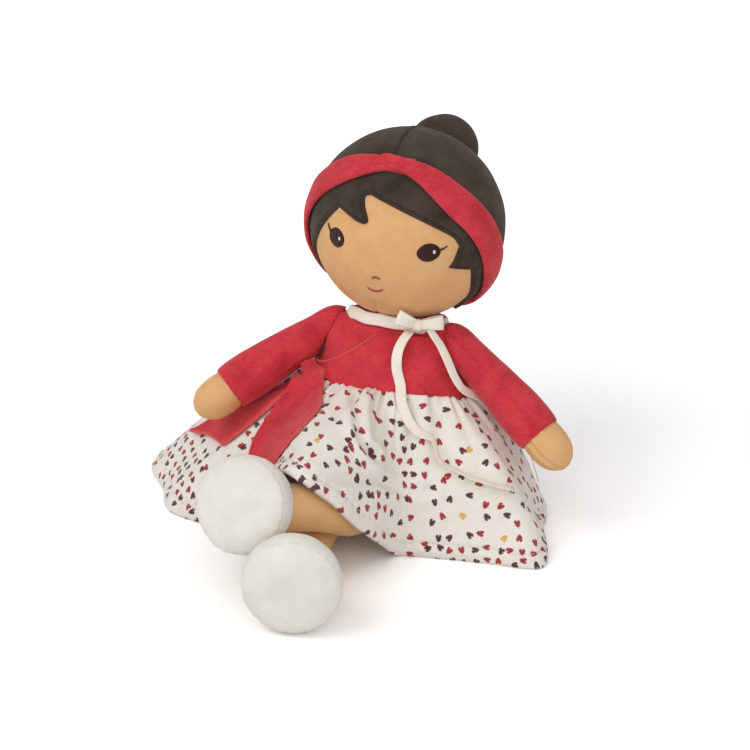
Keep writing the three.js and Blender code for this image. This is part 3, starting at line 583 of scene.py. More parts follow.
def quads(rows, cols, wrap_rows=False, wrap_cols=True):
    faces = []
    for r in range(rows if wrap_rows else rows - 1):
        for c in range(cols if wrap_cols else cols - 1):
            s, d = (r + 1) % rows, (c + 1) % cols
            faces.append((r * cols + c, r * cols + d, s * cols + d, s * cols + c))
    return faces


def tube(name, rings):
    """A closed skin over rings, with a point in the middle of each end."""
    rows, cols, _ = rings.shape
    points = np.vstack([rings.reshape(-1, 3), rings[0].mean(0)[None], rings[-1].mean(0)[None]])
    faces = quads(rows, cols)
    last = (rows - 1) * cols
    for c in range(cols):
        d = (c + 1) % cols
        faces.append((rows * cols, d, c))
        faces.append((rows * cols + 1, last + c, last + d))
    return mesh_object(name, points, faces)


def strip(name, path, across, half, thick, sides=12):
    """A flat band along a path; across is its sideways direction at each place."""
    along = unit(np.gradient(path, axis=0))
    across = unit(across)
    over = unit(np.cross(across, along))
    a = circle(sides)
    half = np.broadcast_to(np.asarray(half, float), (len(path),))
    rings = path[:, None] + across[:, None] * (half[:, None] * squared(np.cos(a), 0.5))[..., None]
    return tube(name, rings + over[:, None] * (squared(np.sin(a), 0.5) * thick / 2)[None, :, None])


def two_sided(name, face, back):
    """A closed sheet between two grids of one size."""
    both = np.concatenate([face, back[::-1]])
    rows, cols = both.shape[:2]
    first = np.arange(rows) * cols
    ends = [first.tolist(), (first + cols - 1)[::-1].tolist()]
    return mesh_object(name, both.reshape(-1, 3), quads(rows, cols, True, False) + ends)


def dress(obj, body, look, replaced=()):
    """Gives a piece its material and its body, and hides the nodes that it stands for."""
    obj.data.materials.append(look)
    if body:
        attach(obj, body)
    if replaced:
        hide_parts(*replaced)
    return obj


def piece(node, rings, body, look, also=()):
    """A closed skin in the place of a node, and of the stuffing in it."""
    return dress(tube(f"{node}_cloth", rings), body, look, [node, *also])


def stitch_group():
    """Geometry nodes that lay one short stitch after another along a line."""
    group = bpy.data.node_groups.new("stitch_run", "GeometryNodeTree")
    kinds = {"Geometry": "Geometry", "Spacing": "Float", "Length": "Float", "Radius": "Float"}
    for label, kind in kinds.items():
        group.interface.new_socket(label, in_out="INPUT", socket_type=f"NodeSocket{kind}")
    group.interface.new_socket("Geometry", in_out="OUTPUT", socket_type="NodeSocketGeometry")
    given = group.nodes.new("NodeGroupInput").outputs
    line, spacing, length, radius = (Sock(group, given[label]) for label in kinds)
    curve = line.make("GeometryNodeMeshToCurve", {}, {0: line})
    places = line.make("GeometryNodeResampleCurve", {"mode": "LENGTH"}, {"Curve": curve, "Length": spacing})
    along = source(group, "GeometryNodeInputTangent", 0)
    turn = line.make("FunctionNodeAlignRotationToVector", {"axis": "Z"}, {"Vector": along})
    bead = line.make("GeometryNodeMeshUVSphere", {}, {"Segments": 6, "Rings": 5, "Radius": 1.0})
    size = line.make("ShaderNodeCombineXYZ", {}, {"X": radius, "Y": radius, "Z": length * 0.5})
    run = line.make("GeometryNodeInstanceOnPoints", {},
                    {"Points": places, "Instance": bead, "Rotation": turn, "Scale": size})
    for kind in ("GeometryNodeRealizeInstances", "GeometryNodeSetShadeSmooth"):
        run = line.make(kind, {}, {0: run})
    group.links.new(run.out, group.nodes.new("NodeGroupOutput").inputs[0])
    return group


STITCH = stitch_group()


def stitches(name, path, body, look, spacing, length, radius):
    mesh = bpy.data.meshes.new(name)
    mesh.from_pydata((path * MM).tolist(), [(i, i + 1) for i in range(len(path) - 1)], [])
    obj = add(name, mesh)
    run = obj.modifiers.new("stitch_run", "NODES")
    run.node_group = STITCH
    values = {"Spacing": spacing * MM, "Length": length * MM, "Radius": radius * MM}
    for item in STITCH.interface.items_tree:
        if item.in_out == "INPUT" and item.name in values:
            run[item.identifier] = values[item.name]
    sewn = bpy.data.meshes.new_from_object(obj.evaluated_get(bpy.context.evaluated_depsgraph_get()))
    sewn.materials.clear()
    obj.modifiers.clear()
    obj.data = sewn
    return dress(obj, body, look)


# Camera, then the ribbons' free tails
def camera():
    right = np.array([math.cos(VIEW_TURN), math.sin(VIEW_TURN), 0])
    lens = bpy.data.cameras.new("camera")
    lens.sensor_width = SENSOR
    lens.lens = SENSOR * FOCUS / PICTURE
    lens.clip_end = 50
    obj = add("camera", lens)
    target = VIEW_AT[0] * right + VIEW_AT[1] * np.cross(right, SIGHT) + VIEW_SHIFT
    obj.location = (target - VIEW_FAR * SIGHT) * MM
    aim_along(obj, SIGHT)
    bpy.context.scene.camera = obj


def ribbon_tails():
    for name, points in TAILS.items():
        path = spline(points, 40)
        along = unit(np.gradient(path, axis=0))
        across = unit(np.cross(along, path - DEEP))
        over = unit(np.cross(across, along))
        # The lower half turns on its edge, as the photograph sees it
        t = np.linspace(0, 1, len(path))
        share = 0.76 * ramp(t, 0.42, 0.6)[:, None]
        on_edge = unit(SIGHT - (along @ SIGHT)[:, None] * along)
        on_edge = on_edge * np.sign((on_edge * across).sum(1))[len(path) // 2]
        across = unit(across * (1 - share) + on_edge * share)
        path = path + over * (RIBBON * 0.4 * np.abs((across * over).sum(1)))[:, None]
        half = RIBBON / 2 * (0.8 + 0.1 * np.minimum(t * 8, 1))
        obj = strip(f"ribbon_tail_{name}_cloth", path, across, half, SATIN)
        dress(obj, "torso", IVORY, [f"ribbon_tail_{name}"])
        tuple(path[0] * MM)
        [tuple(p * MM) for p in path]


# Head
def head():
    way = ball_grid(140, 280)
    across, _, up = np.moveaxis(way * HEAD, -1, 0)
    dart = bulge(across, 0.19 * up - 0.3, 0.8) * (way[..., 1] < 0) * ramp(up, -26, -29)
    radius = HEAD + lumps(way * 50, 18, 0.25) - 0.9 * dart
    skin = tube("head", head_place(way * radius[..., None]))
    dress(skin, "head", FACE, ["head_skin", "head_stuffing"])

    way = ball_grid(30, 40)
    gathered = 1 - 0.04 * np.cos(9 * np.arctan2(way[..., 1], way[..., 0]))
    piece("neck", NECK + way * (NECK_HALF * gathered)[..., None], "neck", SKIN)


def seam_dip(across, depth=0.8, width=0.8):
    """The hollow of a sewn seam, with the cloth standing a little proud beside it."""
    return 0.35 * bulge(np.abs(across), 2.6 * width, 1.5 * width) - depth * bulge(across, 0, width)


def hood():
    phi = circle(HOOD_COLS)
    phi = phi + 0.38 * np.sin(2 * phi)
    ring = np.cos(phi)[:, None] * LEFT + np.sin(phi)[:, None] * HAIR_TOP

    def ways(theta):
        return np.sin(theta)[..., None] * ring - np.cos(theta)[..., None] * HAIR_AIM

    first, edge = 0.01, math.acos(-HAIR_EDGE / HOOD)
    theta = np.linspace(first, edge, HOOD_ROWS)
    height = ways(theta[:, None])[..., 2] * HOOD
    # The nape: rows stop where they come to the hood's lower edge
    stop = np.full(HOOD_COLS, edge)
    for c in range(HOOD_COLS):
        low = np.nonzero(height[:, c] < -NAPE)[0]
        if len(low):
            stop[c] = theta[max(low[0] - 1, 1)]
    for _ in range(6):
        stop = np.minimum(stop, (np.roll(stop, 1) + stop + np.roll(stop, -1)) / 3)
    way = ways(first + np.linspace(0, 1, HOOD_ROWS)[:, None] * (stop - first))
    radius = HOOD + 0.15 + lumps(way * 50, 15, 0.35, 3.0) + seam_dip(way[..., 0] * HOOD, 1.1)
    rows = [way * radius[..., None]]
    for deep in (0.5, 1.4):
        rows.append((way[-1] * (radius[-1] - deep)[:, None])[None])
    piece("hair_hood", head_place(np.concatenate(rows)), "head", HAIR)


def bun():
    aim = np.array([0, math.cos(BUN_TILT), math.sin(BUN_TILT)])
    way = ball_grid(60, 96, aim)
    turn = circle(96)
    pleats = ramp(way @ aim, 0, -0.5) * (0.5 * np.cos(13 * turn + 1.0) + 0.3 * np.cos(22 * turn))
    radius = BUN + pleats + lumps(way * 18, 9, 0.5, 5.0)
    places = head_place(way * radius[..., None] + aim * BUN_OUT + BUN_SHIFT)
    piece("hair_bun", places, "head", HAIR, ["bun_stuffing"])


def headband():
    a = circle(40)
    flat, tall = squared(np.cos(a), 0.7), squared(np.sin(a), 0.7)
    middle = HOOD + CLEAR + BAND_THICK / 2 - 0.3
    turn = np.linspace(-BAND_LEAD, BAND_REACH, 120)[:, None]
    twist = bulge(turn, 0, BAND_LEAD * 1.3)
    # The left strand slides towards the face as it goes down
    slide = BAND_SLIDE * ramp(turn, 0, rad(42)) * (1 - ramp(turn, rad(105), BAND_REACH))
    wide = BAND_WIDTH * (1 - 0.52 * twist) * (1 - 0.35 * ramp(turn, rad(118), BAND_REACH))
    forward = wide / 2 * flat
    swing = (forward / middle)[..., None]
    creased = BAND_THICK / 2 * (1 + 0.25 * twist) * tall
    for line, deep, run in BAND_CREASES:
        creased = creased - deep * bulge(turn, 0.05, run) * bulge(flat, line, 0.13) * (np.sin(a) > 0)
    for name, side in SIDES:
        level = HAIR_EDGE + BAND_FORWARD - 0.8 * twist + (slide if side > 0 else 0)
        level = level[..., None]
        # The two strands meet along a slanted line
        at = turn + side * math.tan(TWIST_SLANT) * forward / middle * bulge(turn, 0, rad(30))
        round_head = side * np.sin(at)[..., None] * LEFT + np.cos(at)[..., None] * HAIR_TOP
        out = unit(round_head * np.sqrt(middle**2 - level**2) + level * HAIR_AIM)
        ahead = unit(HAIR_AIM - (out @ HAIR_AIM)[..., None] * out)
        # The left strand's end lies over the right one, which dips under it
        if side > 0:
            edge = ramp(turn, 0, rad(-5))
            lift = creased + 1.2 * bulge(turn, rad(2), rad(9)) - 4.5 * (1 - np.sqrt(1 - edge**2))
        else:
            lift = creased - 1.8 * ramp(turn, rad(9), rad(-2)) ** 2
        rings = (out * np.cos(swing) + ahead * np.sin(swing)) * (middle + lift)[..., None]
        rings = rings * (1 + lumps(rings, 12, 0.4, 9.0) / middle)[..., None]
        piece(f"headband_{name}", head_place(rings), "head", RED)


def plan_of(points):
    """Places on the head as a flat map round the middle of the face."""
    way = unit(np.asarray(points, float))
    angle = np.arccos(np.clip(-way[:, 1], -1, 1))
    turn = np.arctan2(way[:, 2], way[:, 0])
    return np.stack([HEAD * angle * np.cos(turn), HEAD * angle * np.sin(turn)], -1)


def on_head(plan, radius):
    angle = np.linalg.norm(plan, axis=-1) / HEAD
    turn = np.arctan2(plan[:, 1], plan[:, 0])
    way = np.stack([np.sin(angle) * np.cos(turn), -np.cos(angle), np.sin(angle) * np.sin(turn)], -1)
    return way * np.broadcast_to(radius, len(plan))[:, None]


def front(points):
    """Places on the head's front, seen straight on."""
    p = np.asarray(points, float)
    deep = np.sqrt(np.maximum(HEAD**2 - (p**2).sum(-1), 0))
    return np.stack([p[..., 0], -deep, p[..., 1]], -1)


def fringe():
    # The hair's lower edge keeps its corners: each stretch between corners is smoothed by itself
    line = np.array(HAIRLINE, float)
    stretches = []
    for i, j in zip(HAIR_CORNERS, HAIR_CORNERS[1:]):
        count = max(int(lengths(line[i:j + 1])[-1] / HAIR_STEP), 3)
        course = spline(line[i:j + 1], count) if j - i > 1 else np.linspace(line[i], line[j], count)
        stretches.append(course[:-1])
    edge = plan_of(front(np.vstack(stretches + [line[-1:]])))
    turn = np.linspace(rad(128), rad(-140), 150)[:, None]
    level = HAIR_EDGE - 2
    arc = (np.sin(turn) * LEFT + np.cos(turn) * HAIR_TOP) * math.sqrt(HEAD**2 - level**2) + level * HAIR_AIM
    outline = np.vstack([edge, plan_of(arc)])
    low, high = outline.min(0), outline.max(0)
    xs = np.arange(low[0], high[0], HAIR_STEP)
    ys = np.arange(low[1], high[1], HAIR_STEP * 0.866)
    field = np.array([(x + (k % 2) * HAIR_STEP / 2, y) for k, y in enumerate(ys) for x in xs])
    field = field[inside(field, outline)]
    field = field[to_lines(field, outline, np.roll(outline, -1, 0)) > HAIR_STEP / 2]
    ring = [(i, (i + 1) % len(outline)) for i in range(len(outline))]
    made = geometry.delaunay_2d_cdt([Vector(p) for p in np.vstack([outline, field])], ring, [], 1, 1e-5)
    plan = np.array([tuple(p) for p in made[0]])
    away = to_lines(plan, edge[:-1], edge[1:])
    rim = rounded(away, 1.3)
    height = (VELOUR + CLEAR) * rim - 0.2 - 0.75 * bulge(away, HAIR_SEWN, 0.5) * (away > 0.5)
    height += lumps(on_head(plan, HEAD), 7, 0.3, 2.0) * rim
    obj = mesh_object("fringe_cloth", head_place(on_head(plan, HEAD + height)), [list(f) for f in made[2]])
    dress(obj, "head", HAIR, ["fringe"])
    # The sewn line beside that edge
    tangent = unit(np.gradient(edge, axis=0))
    inward = np.stack([-tangent[:, 1], tangent[:, 0]], -1)
    inward = np.where(inside(edge + inward * 0.3, outline)[:, None], inward, -inward)
    for _ in range(8):
        inward = unit(inward + np.roll(inward, 1, 0) + np.roll(inward, -1, 0))
    sewn = edge + inward * HAIR_SEWN
    keep = to_lines(sewn, edge[:-1], edge[1:]) > 1.6
    sewn = sewn[keep & inside(sewn, outline)]
    sewn = head_place(on_head(sewn, HEAD + 1.25))
    stitches("fringe_stitches", sewn, "head", HAIR_THREAD, spacing=1.5, length=1.0, radius=0.2)


def face_patch(across, up, height):
    """Rings of places over the head's front, each at its height."""
    return head_place(unit(front(np.stack([across, up], -1))) * (HEAD + height)[..., None])


def face_line(name, flat, half, lift, thick, sides):
    """A sewn line on the head's front."""
    way = unit(front(flat)) * (HEAD + lift)
    across = head_place(np.cross(np.gradient(way, axis=0), way)) - HEAD_CENTRE
    return strip(name, head_place(way), across, half, thick, sides)


def face():
    a, r = circle(56), np.linspace(1, 0.04, 14)[:, None]
    few, small = a[::4], np.linspace(1, 0.05, 6)[:, None]
    lid = 1 + 0.06 * np.cos(2 * a)
    dome = 0.75 * np.sqrt(np.clip(1 - r**2, 0, 1)) ** 0.5 - 0.1
    gleam = 0.72 + 0.25 * np.sqrt(1 - small**2)
    for name, (across, up, wide, tall, lash) in EYES.items():
        eye = face_patch(across + wide * r * np.cos(a) * lid, up + tall * r * np.sin(a), dome)
        piece(f"eye_{name}", eye, "head", EYE)
        course = spline(lash, 12) + [across, up]
        half = np.linspace(0.6, 0.2, 12)
        dress(face_line(f"lash_{name}", course, half, lift=0.35, thick=0.7, sides=8), "head", EYE)
        x, y = across + 2.4 + 0.62 * small * np.cos(few), up + 0.3 + 1.05 * small * np.sin(few)
        glint = face_patch(x, y, gleam)
        dress(tube(f"glint_{name}", glint), "head", GLINT)
    for name, (middle, radius, start, end) in ARCS.items():
        t = np.radians(np.linspace(start, end, 32))
        course = np.array(middle) + radius * np.stack([np.cos(t), np.sin(t)], -1)
        from_end = np.minimum(np.linspace(0, 1, 32), np.linspace(1, 0, 32))
        half = 0.5 * np.minimum(1, 0.35 + 4 * from_end)
        dress(face_line(f"{name}_cloth", course, half, lift=0.2, thick=0.8, sides=10), "head", MOUTH, [name])


# Dress top
def torso_place(x, y, rise):
    bend = WAIST[0] / LEAN
    tilt = LEAN * np.minimum(rise / WAIST[0], 1)
    over = np.maximum(rise - WAIST[0], 0)
    back = bend * (1 - np.cos(tilt)) + over * np.sin(tilt)
    height = bend * np.sin(tilt) + over * np.cos(tilt)
    x, y, back, height, tilt = np.broadcast_arrays(x, y, back, height, tilt)
    return np.stack([x, SEAT_BACK + back + y * np.cos(tilt), height - y * np.sin(tilt)], -1)


def torso_grid(profile, rows, angles):
    rise, wide, deep = (column[:, None] for column in spline(profile, rows).T)
    return torso_place(wide / 2 * np.cos(angles), deep / 2 * np.sin(angles), rise)


def waist_drop(angles):
    return sum(deep * bulge(degrees_from(angles, at), 0, wide) for deep, at, wide in WAIST_SAG)


def torso_half(rise):
    """The torso's half width and half depth at a rise."""
    known = np.vstack([spline(HIPS, 60)[:-1], spline(BODICE, 60)])
    return [np.interp(rise, known[:, 0], column) / 2 for column in known[:, 1:].T]


def armhole(side):
    """The plane of an armhole: its direction and its distance."""
    normal = np.array([side * math.cos(ARMHOLE_TILT), 0, math.sin(ARMHOLE_TILT)])
    return normal, (torso_grid(BODICE, 48, circle(96)) @ normal).max() - 0.6


def bodice_grid(rows, angles):
    """The dress top's rises and places, down to the waist seam."""
    rise = spline(BODICE, rows)[:, :1] - waist_drop(angles) * np.linspace(1, 0, rows)[:, None] ** 1.5
    wide, deep = torso_half(rise)
    return rise, torso_place(wide * np.cos(angles), deep * np.sin(angles), rise)


def bodice():
    angles = circle(160)
    rise, grid = bodice_grid(48, angles)
    out = normals(grid)
    lift = 0.15 + lumps(grid, 16, 0.5) + 0.9 * bulge(rise, WAIST[0] - waist_drop(angles), 2)
    grid = grid + out * lift[..., None]
    # The cloth swells to meet the sleeves
    for name, (side, *_) in ARMS.items():
        normal, plane = armhole(side)
        away = grid - PIVOT[f"shoulder_{name}"]
        away = np.linalg.norm(away - (away @ normal)[..., None] * normal, axis=-1)
        near = eased(ramp(away, 17, 11) * ramp(rise, 101.5, 98.5) * (grid[..., 0] * side > 0))
        grid = grid + (np.maximum(plane - 0.2 - grid @ normal, 0) * near)[..., None] * normal
    low = grid[0] - out[0] * 1.6 + AXIS * 0.6
    rise, wide, deep = COLLAR
    top = [torso_place(wide / 2 * k * np.cos(angles), deep / 2 * k * np.sin(angles), rise - drop)
           for k, drop in ((0.94, -0.2), (0.85, 0.5), (0.7, 2))]
    rings = np.concatenate([low[None], grid, np.array(top)])
    piece("bodice", rings, "torso", RED, ["torso_stuffing"])

    grid = torso_grid(HIPS, 40, angles)
    grid = grid - normals(grid) * (1.4 * ramp(spline(HIPS, 40)[:, :1], 54, 61))[..., None]
    grid[..., 2] = np.maximum(grid[..., 2], 0)
    piece("lower_body", grid, "torso", SKIN)


def wrap():
    angles = np.radians(np.linspace(-178, -22, 150))
    _, grid = bodice_grid(WRAP_ROWS, angles)
    out = normals(bodice_grid(WRAP_ROWS, circle(360))[1])
    levels = np.arange(WRAP_ROWS)
    edge = math.sin(WRAP_SLOPE) * LEFT + math.cos(WRAP_SLOPE) * AXIS * [1, 1, -1]
    side = (grid - torso_place(0, -COLLAR[2] / 2, COLLAR[0] - WRAP_DROP)) @ edge
    limit = np.interp(WRAP_TOP, spline(BODICE, WRAP_ROWS)[:, 0], levels)
    # The columns below the edge, and the level that each of them reaches
    used = np.nonzero(side[0] > 0.3)[0]
    reach = [np.interp(0, -side[:, c], levels) if side[-1, c] < 0 else levels[-1] for c in used]
    reach = np.minimum(reach, limit)
    rows = np.linspace(0, 1, WRAP_CUTS)

    def cut(field, columns):
        lines = [[np.interp(rows * top, levels, line) for line in field[:, c].T]
                 for c, top in zip(columns, reach)]
        return np.array(lines).transpose(2, 0, 1)

    sheet = cut(grid, used)
    n = unit(cut(out, np.round(np.degrees(angles[used])).astype(int) % 360))
    from_edge = (1 - rows)[:, None] * np.linalg.norm(sheet[-1] - sheet[0], axis=1)
    lift = CLEAR + VELOUR + bulge(from_edge, 1.0, 1.0) + 0.6 * bulge(rows, 0, 0.15)[:, None]
    lift = lift * rounded(from_edge, 0.6) + 0.05 + lumps(sheet, 16, 0.4, 1.0)
    obj = two_sided("wrap_panel_cloth", sheet + n * lift[..., None], sheet + n * 0.05)
    # Painted highlight along the panel's edge, lightening its colour
    painted_highlight_amount = 0.8 * bulge(from_edge, 0.5, 1.1) * (reach < limit - 1)
    mark_painted_highlight(obj, np.concatenate([painted_highlight_amount, 0 * painted_highlight_amount]))
    dress(obj, "torso", RED, ["wrap_panel"])


# Arms
def limb(path, halves, sides, seam=None, depth=0.8):
    along = unit(np.gradient(path, axis=0))
    across = unit(np.cross(along, UP))
    over = np.cross(across, along)
    a = circle(sides)
    wide, tall = (np.asarray(h, float)[:, None] for h in halves)
    dent = 0
    if seam is not None:
        off = (a - rad(seam) + math.pi) % TAU - math.pi
        dent = seam_dip(off[None] * np.maximum(wide, tall), depth, 0.9)
    rings = path[:, None] + across[:, None] * ((wide + dent) * np.cos(a))[..., None]
    return rings + over[:, None] * ((tall + dent) * np.sin(a))[..., None]


def arm_course(shoulder, aim):
    """Gives a function of the distance from the shoulder, which goes straight on beyond both ends."""
    tip = shoulder + unit(np.array(aim, float)) * ARM_LENGTH
    middle = (shoulder + tip) / 2 + UP * 2 * ARM_BOW
    t = np.linspace(0, 1, 200)[:, None]
    curve = (1 - t) ** 2 * shoulder + 2 * t * (1 - t) * middle + t**2 * tip
    run = lengths(curve)
    first, last = unit(curve[1] - curve[0]), unit(curve[-1] - curve[-2])

    def at(distance):
        place = np.stack([np.interp(distance, run, column) for column in curve.T], -1)
        before, after = np.minimum(distance, 0), np.maximum(distance - run[-1], 0)
        return place + before[:, None] * first + after[:, None] * last

    return at


def arms():
    for name, (side, aim, seam, palm) in ARMS.items():
        at = arm_course(PIVOT[f"shoulder_{name}"], aim)
        away, half = np.vstack([spline(SLEEVE, 60), CUFF]).T
        rings = limb(at(away), (half, half), 128, seam, 1.0)
        rings += normals(rings) * lumps(rings, 13, 0.5, side)[..., None]
        normal, plane = armhole(side)
        rings = rings + np.maximum(plane - rings @ normal, 0)[..., None] * normal
        piece(f"sleeve_{name}", rings, f"arm_{name}", RED, [f"arm_stuffing_{name}"])

        away, half = spline(MITTEN, 40).T
        rings = limb(at(away), (half, half * 0.96), 112, palm, 0.9 * np.minimum(half / 9, 1)[:, None])
        piece(f"hand_{name}", rings, f"arm_{name}", SKIN)


# Legs
def legs():
    for name, (path, foot, aim) in LEGS.items():
        line = spline(path, 70)
        run = lengths(line)
        full = eased(ramp(run, 0, LEG_FILLS))
        rings = limb(line, [thin + (LEG_HALF - thin) * full for thin in LEG_HIP], 48)
        out = normals(rings)
        rings += out * lumps(rings, 14, 0.5, 4.0)[..., None]
        if name == "left":
            sag = CALF_SAG * bulge(run, CALF_AT, CALF_RUN)[:, None]
            rings += out * (sag * np.clip(out @ CALF_WAY, 0, 1))[..., None]
        rings[..., 2] = np.maximum(rings[..., 2], 0.1)
        piece(f"leg_{name}", rings, f"leg_{name}", SKIN, [f"leg_stuffing_{name}"])

        ahead = unit(np.array(aim))
        seam = np.array(foot) + ahead * (HEEL - DOME) / 2
        side = unit(np.cross(ahead, UP))
        over = np.cross(side, ahead)
        turn = circle(112)
        pucker = 0.5 * np.cos(31 * turn + rng.uniform(0, TAU))
        pucker = pucker + 0.4 * np.cos(19 * turn + rng.uniform(0, TAU))
        for part, profile, count, fill in (("sole", SOLE, 60, 0.8), ("upper", UPPER, 80, STUFFED)):
            radius, back = (column[:, None] for column in spline(profile, count).T)
            radius = radius + 0.45 * np.exp(-np.abs(back) / 4.5) * (radius > FOOT * 0.6) * pucker
            rings = seam - ahead * back[..., None] + side * (radius * np.cos(turn))[..., None]
            rings = rings + over * (radius * np.sin(turn))[..., None]
            rings = rings + normals(rings) * lumps(rings, 11, 0.5, 8.0)[..., None]
            piece(f"bootie_{part}_{name}", rings, f"leg_{name}", CREAM)


# Skirt
def clear_of_legs(grid, gap):
    """Moves places on the skirt out of the legs' way."""
    marks = np.vstack([spline(path, 40) for path, _, _ in LEGS.values()])
    ahead = grid[..., 1] < 0
    flat = grid[ahead]
    for _ in range(2):
        away = flat[:, None] - marks
        distance = np.linalg.norm(away, axis=2)
        near = (np.arange(len(flat)), distance.argmin(1))
        flat = flat + unit(away[near]) * np.maximum(LEG_HALF + gap - distance[near], 0)[:, None]
    grid = grid.copy()
    grid[ahead] = flat
    grid[..., 2] = np.maximum(grid[..., 2], 0)
    return grid


def skirt_ground(low, turn, down, around):
    """The skirt without its folds: the outward direction of each column, and the places."""
    rise = WAIST[0] - CLEAR - waist_drop(turn)
    wide, deep = torso_half(rise)
    high = torso_place((wide + CLEAR) * np.cos(turn), (deep + CLEAR) * np.sin(turn), rise)
    out = unit((low - high) * [1, 1, 0])
    swell = SKIRT_SWELL * np.sin(math.pi * down)
    # The hem's waves are slight where it lies on the floor in front
    still = 1 - 0.75 * (bulge(low[:, 0], 60, 45) * (low[:, 1] < -20))
    still = still * (1 - 0.7 * bulge(np.hypot(low[:, 0] - 96, low[:, 1] + 14), 0, 28))
    wave = HEM_WAVE * down * np.cos(HEM_WAVES * around) * still
    grid = high + (low - high) * down[..., None] + out * (0.6 * swell + wave)[..., None]
    grid[..., 2] += 0.8 * swell
    grid = clear_of_legs(grid, LEG_GAP)
    # The cloth is taut beside the left knee
    taut = bulge(np.linalg.norm(low[:, :2] - LEFT_KNEE, axis=1), 0, 32)[:, None]
    for turns, share in ((1, 1),) * 8 + ((12, taut),) * 10:
        for _ in range(turns):
            even = (np.roll(grid, 1, 1) + np.roll(grid, -1, 1))[1:-1] / 4 + (grid[2:] + grid[:-2]) / 4
            grid[1:-1] += share * (even - grid[1:-1])
        grid = clear_of_legs(grid, LEG_GAP - 0.4)
    return out, grid


def skirt_lift(grid, n, turn, down, around, from_hem):
    """How far the cloth stands off its ground: gathers, folds and the sewn hem."""
    gather = np.zeros(SKIRT_COLS)
    for count in GATHERS:
        gather += rng.uniform(0.5, 1) * np.cos(count * around + rng.uniform(0, TAU))
    lift = 1.3 + 1.5 * gather / 2.2 * np.exp(-down / 0.2) * np.minimum(1, 0.45 + down * 12)
    for angle, deep, wide, run in WAIST_FOLDS:
        away = degrees_from(turn, angle)
        shape = bulge(away, 0, wide) - 0.7 * bulge(away, 1.9 * wide, wide)
        shape = shape - 0.5 * bulge(away, -2.1 * wide, wide)
        lift = lift - deep * shape * np.exp(-((down / run) ** 2)) * np.minimum(1, 0.3 + down * 8)
    for course, deep, wide in SKIRT_FOLDS:
        line = spline(course, 24)
        away = to_lines((grid + n * VELOUR).reshape(-1, 3), line[:-1], line[1:]).reshape(grid.shape[:2])
        lift = lift - deep * bulge(away, 0, wide) + 0.6 * deep * bulge(away, 2.3 * wide, 1.2 * wide)
    hem = 0.5 * bulge(from_hem, 2.5, 3.0) - 0.9 * bulge(from_hem, HEM_STITCH, 0.9)
    pucker = 0.3 * bulge(from_hem, HEM_STITCH, 4.0) * np.cos(120 * around + 3 * np.sin(7 * around))
    return lift + hem + pucker + lumps(grid, 22, 0.8, 6.0)


def relaxed(plan, cloth, turns=500):
    """Evens out a flat plan until its threads are about as long as on the cloth."""
    start, end, every = slice(None, -1), slice(1, None), slice(None)
    pairs = [((every, end), (every, start)), ((end, every), (start, every)),
             ((end, end), (start, start)), ((end, start), (start, end))]
    wanted = [np.linalg.norm(cloth[a] - cloth[b], axis=-1) for a, b in pairs]
    for _ in range(turns):
        move = np.zeros_like(plan)
        for (a, b), length in zip(pairs, wanted):
            gap = plan[a] - plan[b]
            now = np.maximum(np.sqrt((gap * gap).sum(-1)), 1e-6)
            push = (0.5 * (length - now) / now)[..., None] * gap
            move[a] += push
            move[b] -= push
        plan = plan + move / 4
    return plan


def print_plan(obj, low, grid, outer, run_down):
    """Lays the cloth flat as two ring sectors, which meet at the back and under the sash."""
    cols = SKIRT_COLS
    seam = int(np.argmax(low[:, 1]))
    order = (np.arange(cols + 1) + seam) % cols
    rolled = grid[:, order]
    along = np.cumsum(np.linalg.norm(np.diff(rolled, axis=1, prepend=rolled[:, :1]), axis=2), 1)
    away = PLAN_INNER + run_down[:, order]
    right, meet, left = (int(np.argmin(np.linalg.norm(low[order, :2] - mark, axis=1)))
                         for mark in (PLAN_RIGHT, PLAN_SEAM, PLAN_LEFT))
    plans = []
    for first, used in ((right, slice(None, meet + 1)), (left, slice(meet, None))):
        bend = (along - along[:, first:first + 1]) / away
        plan = np.stack([away * np.cos(bend), away * np.sin(bend)], -1)
        plan[:, used] = relaxed(plan[:, used], outer[:, order[used]])
        plans.append(np.concatenate([plan, plan[-1:], plan[::-1]]))
    corner = np.empty(len(obj.data.loops), int)
    obj.data.loops.foreach_get("vertex_index", corner)
    row, column = corner // cols, ((corner - seam) % cols).reshape(-1, 4)
    column = np.where((column == 0) & (column.max(1) == cols - 1)[:, None], cols, column)
    on_left = np.repeat(column.min(1) >= meet, 4)[:, None]
    column = column.ravel()
    uv = np.where(on_left, plans[1][row, column], plans[0][row, column] * [1, -1])
    obj.data.uv_layers.new(name="cloth").data.foreach_set("uv", uv.ravel())


def with_leg(obj):
    """Bakes a piece's placement into its mesh."""
    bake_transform(obj)


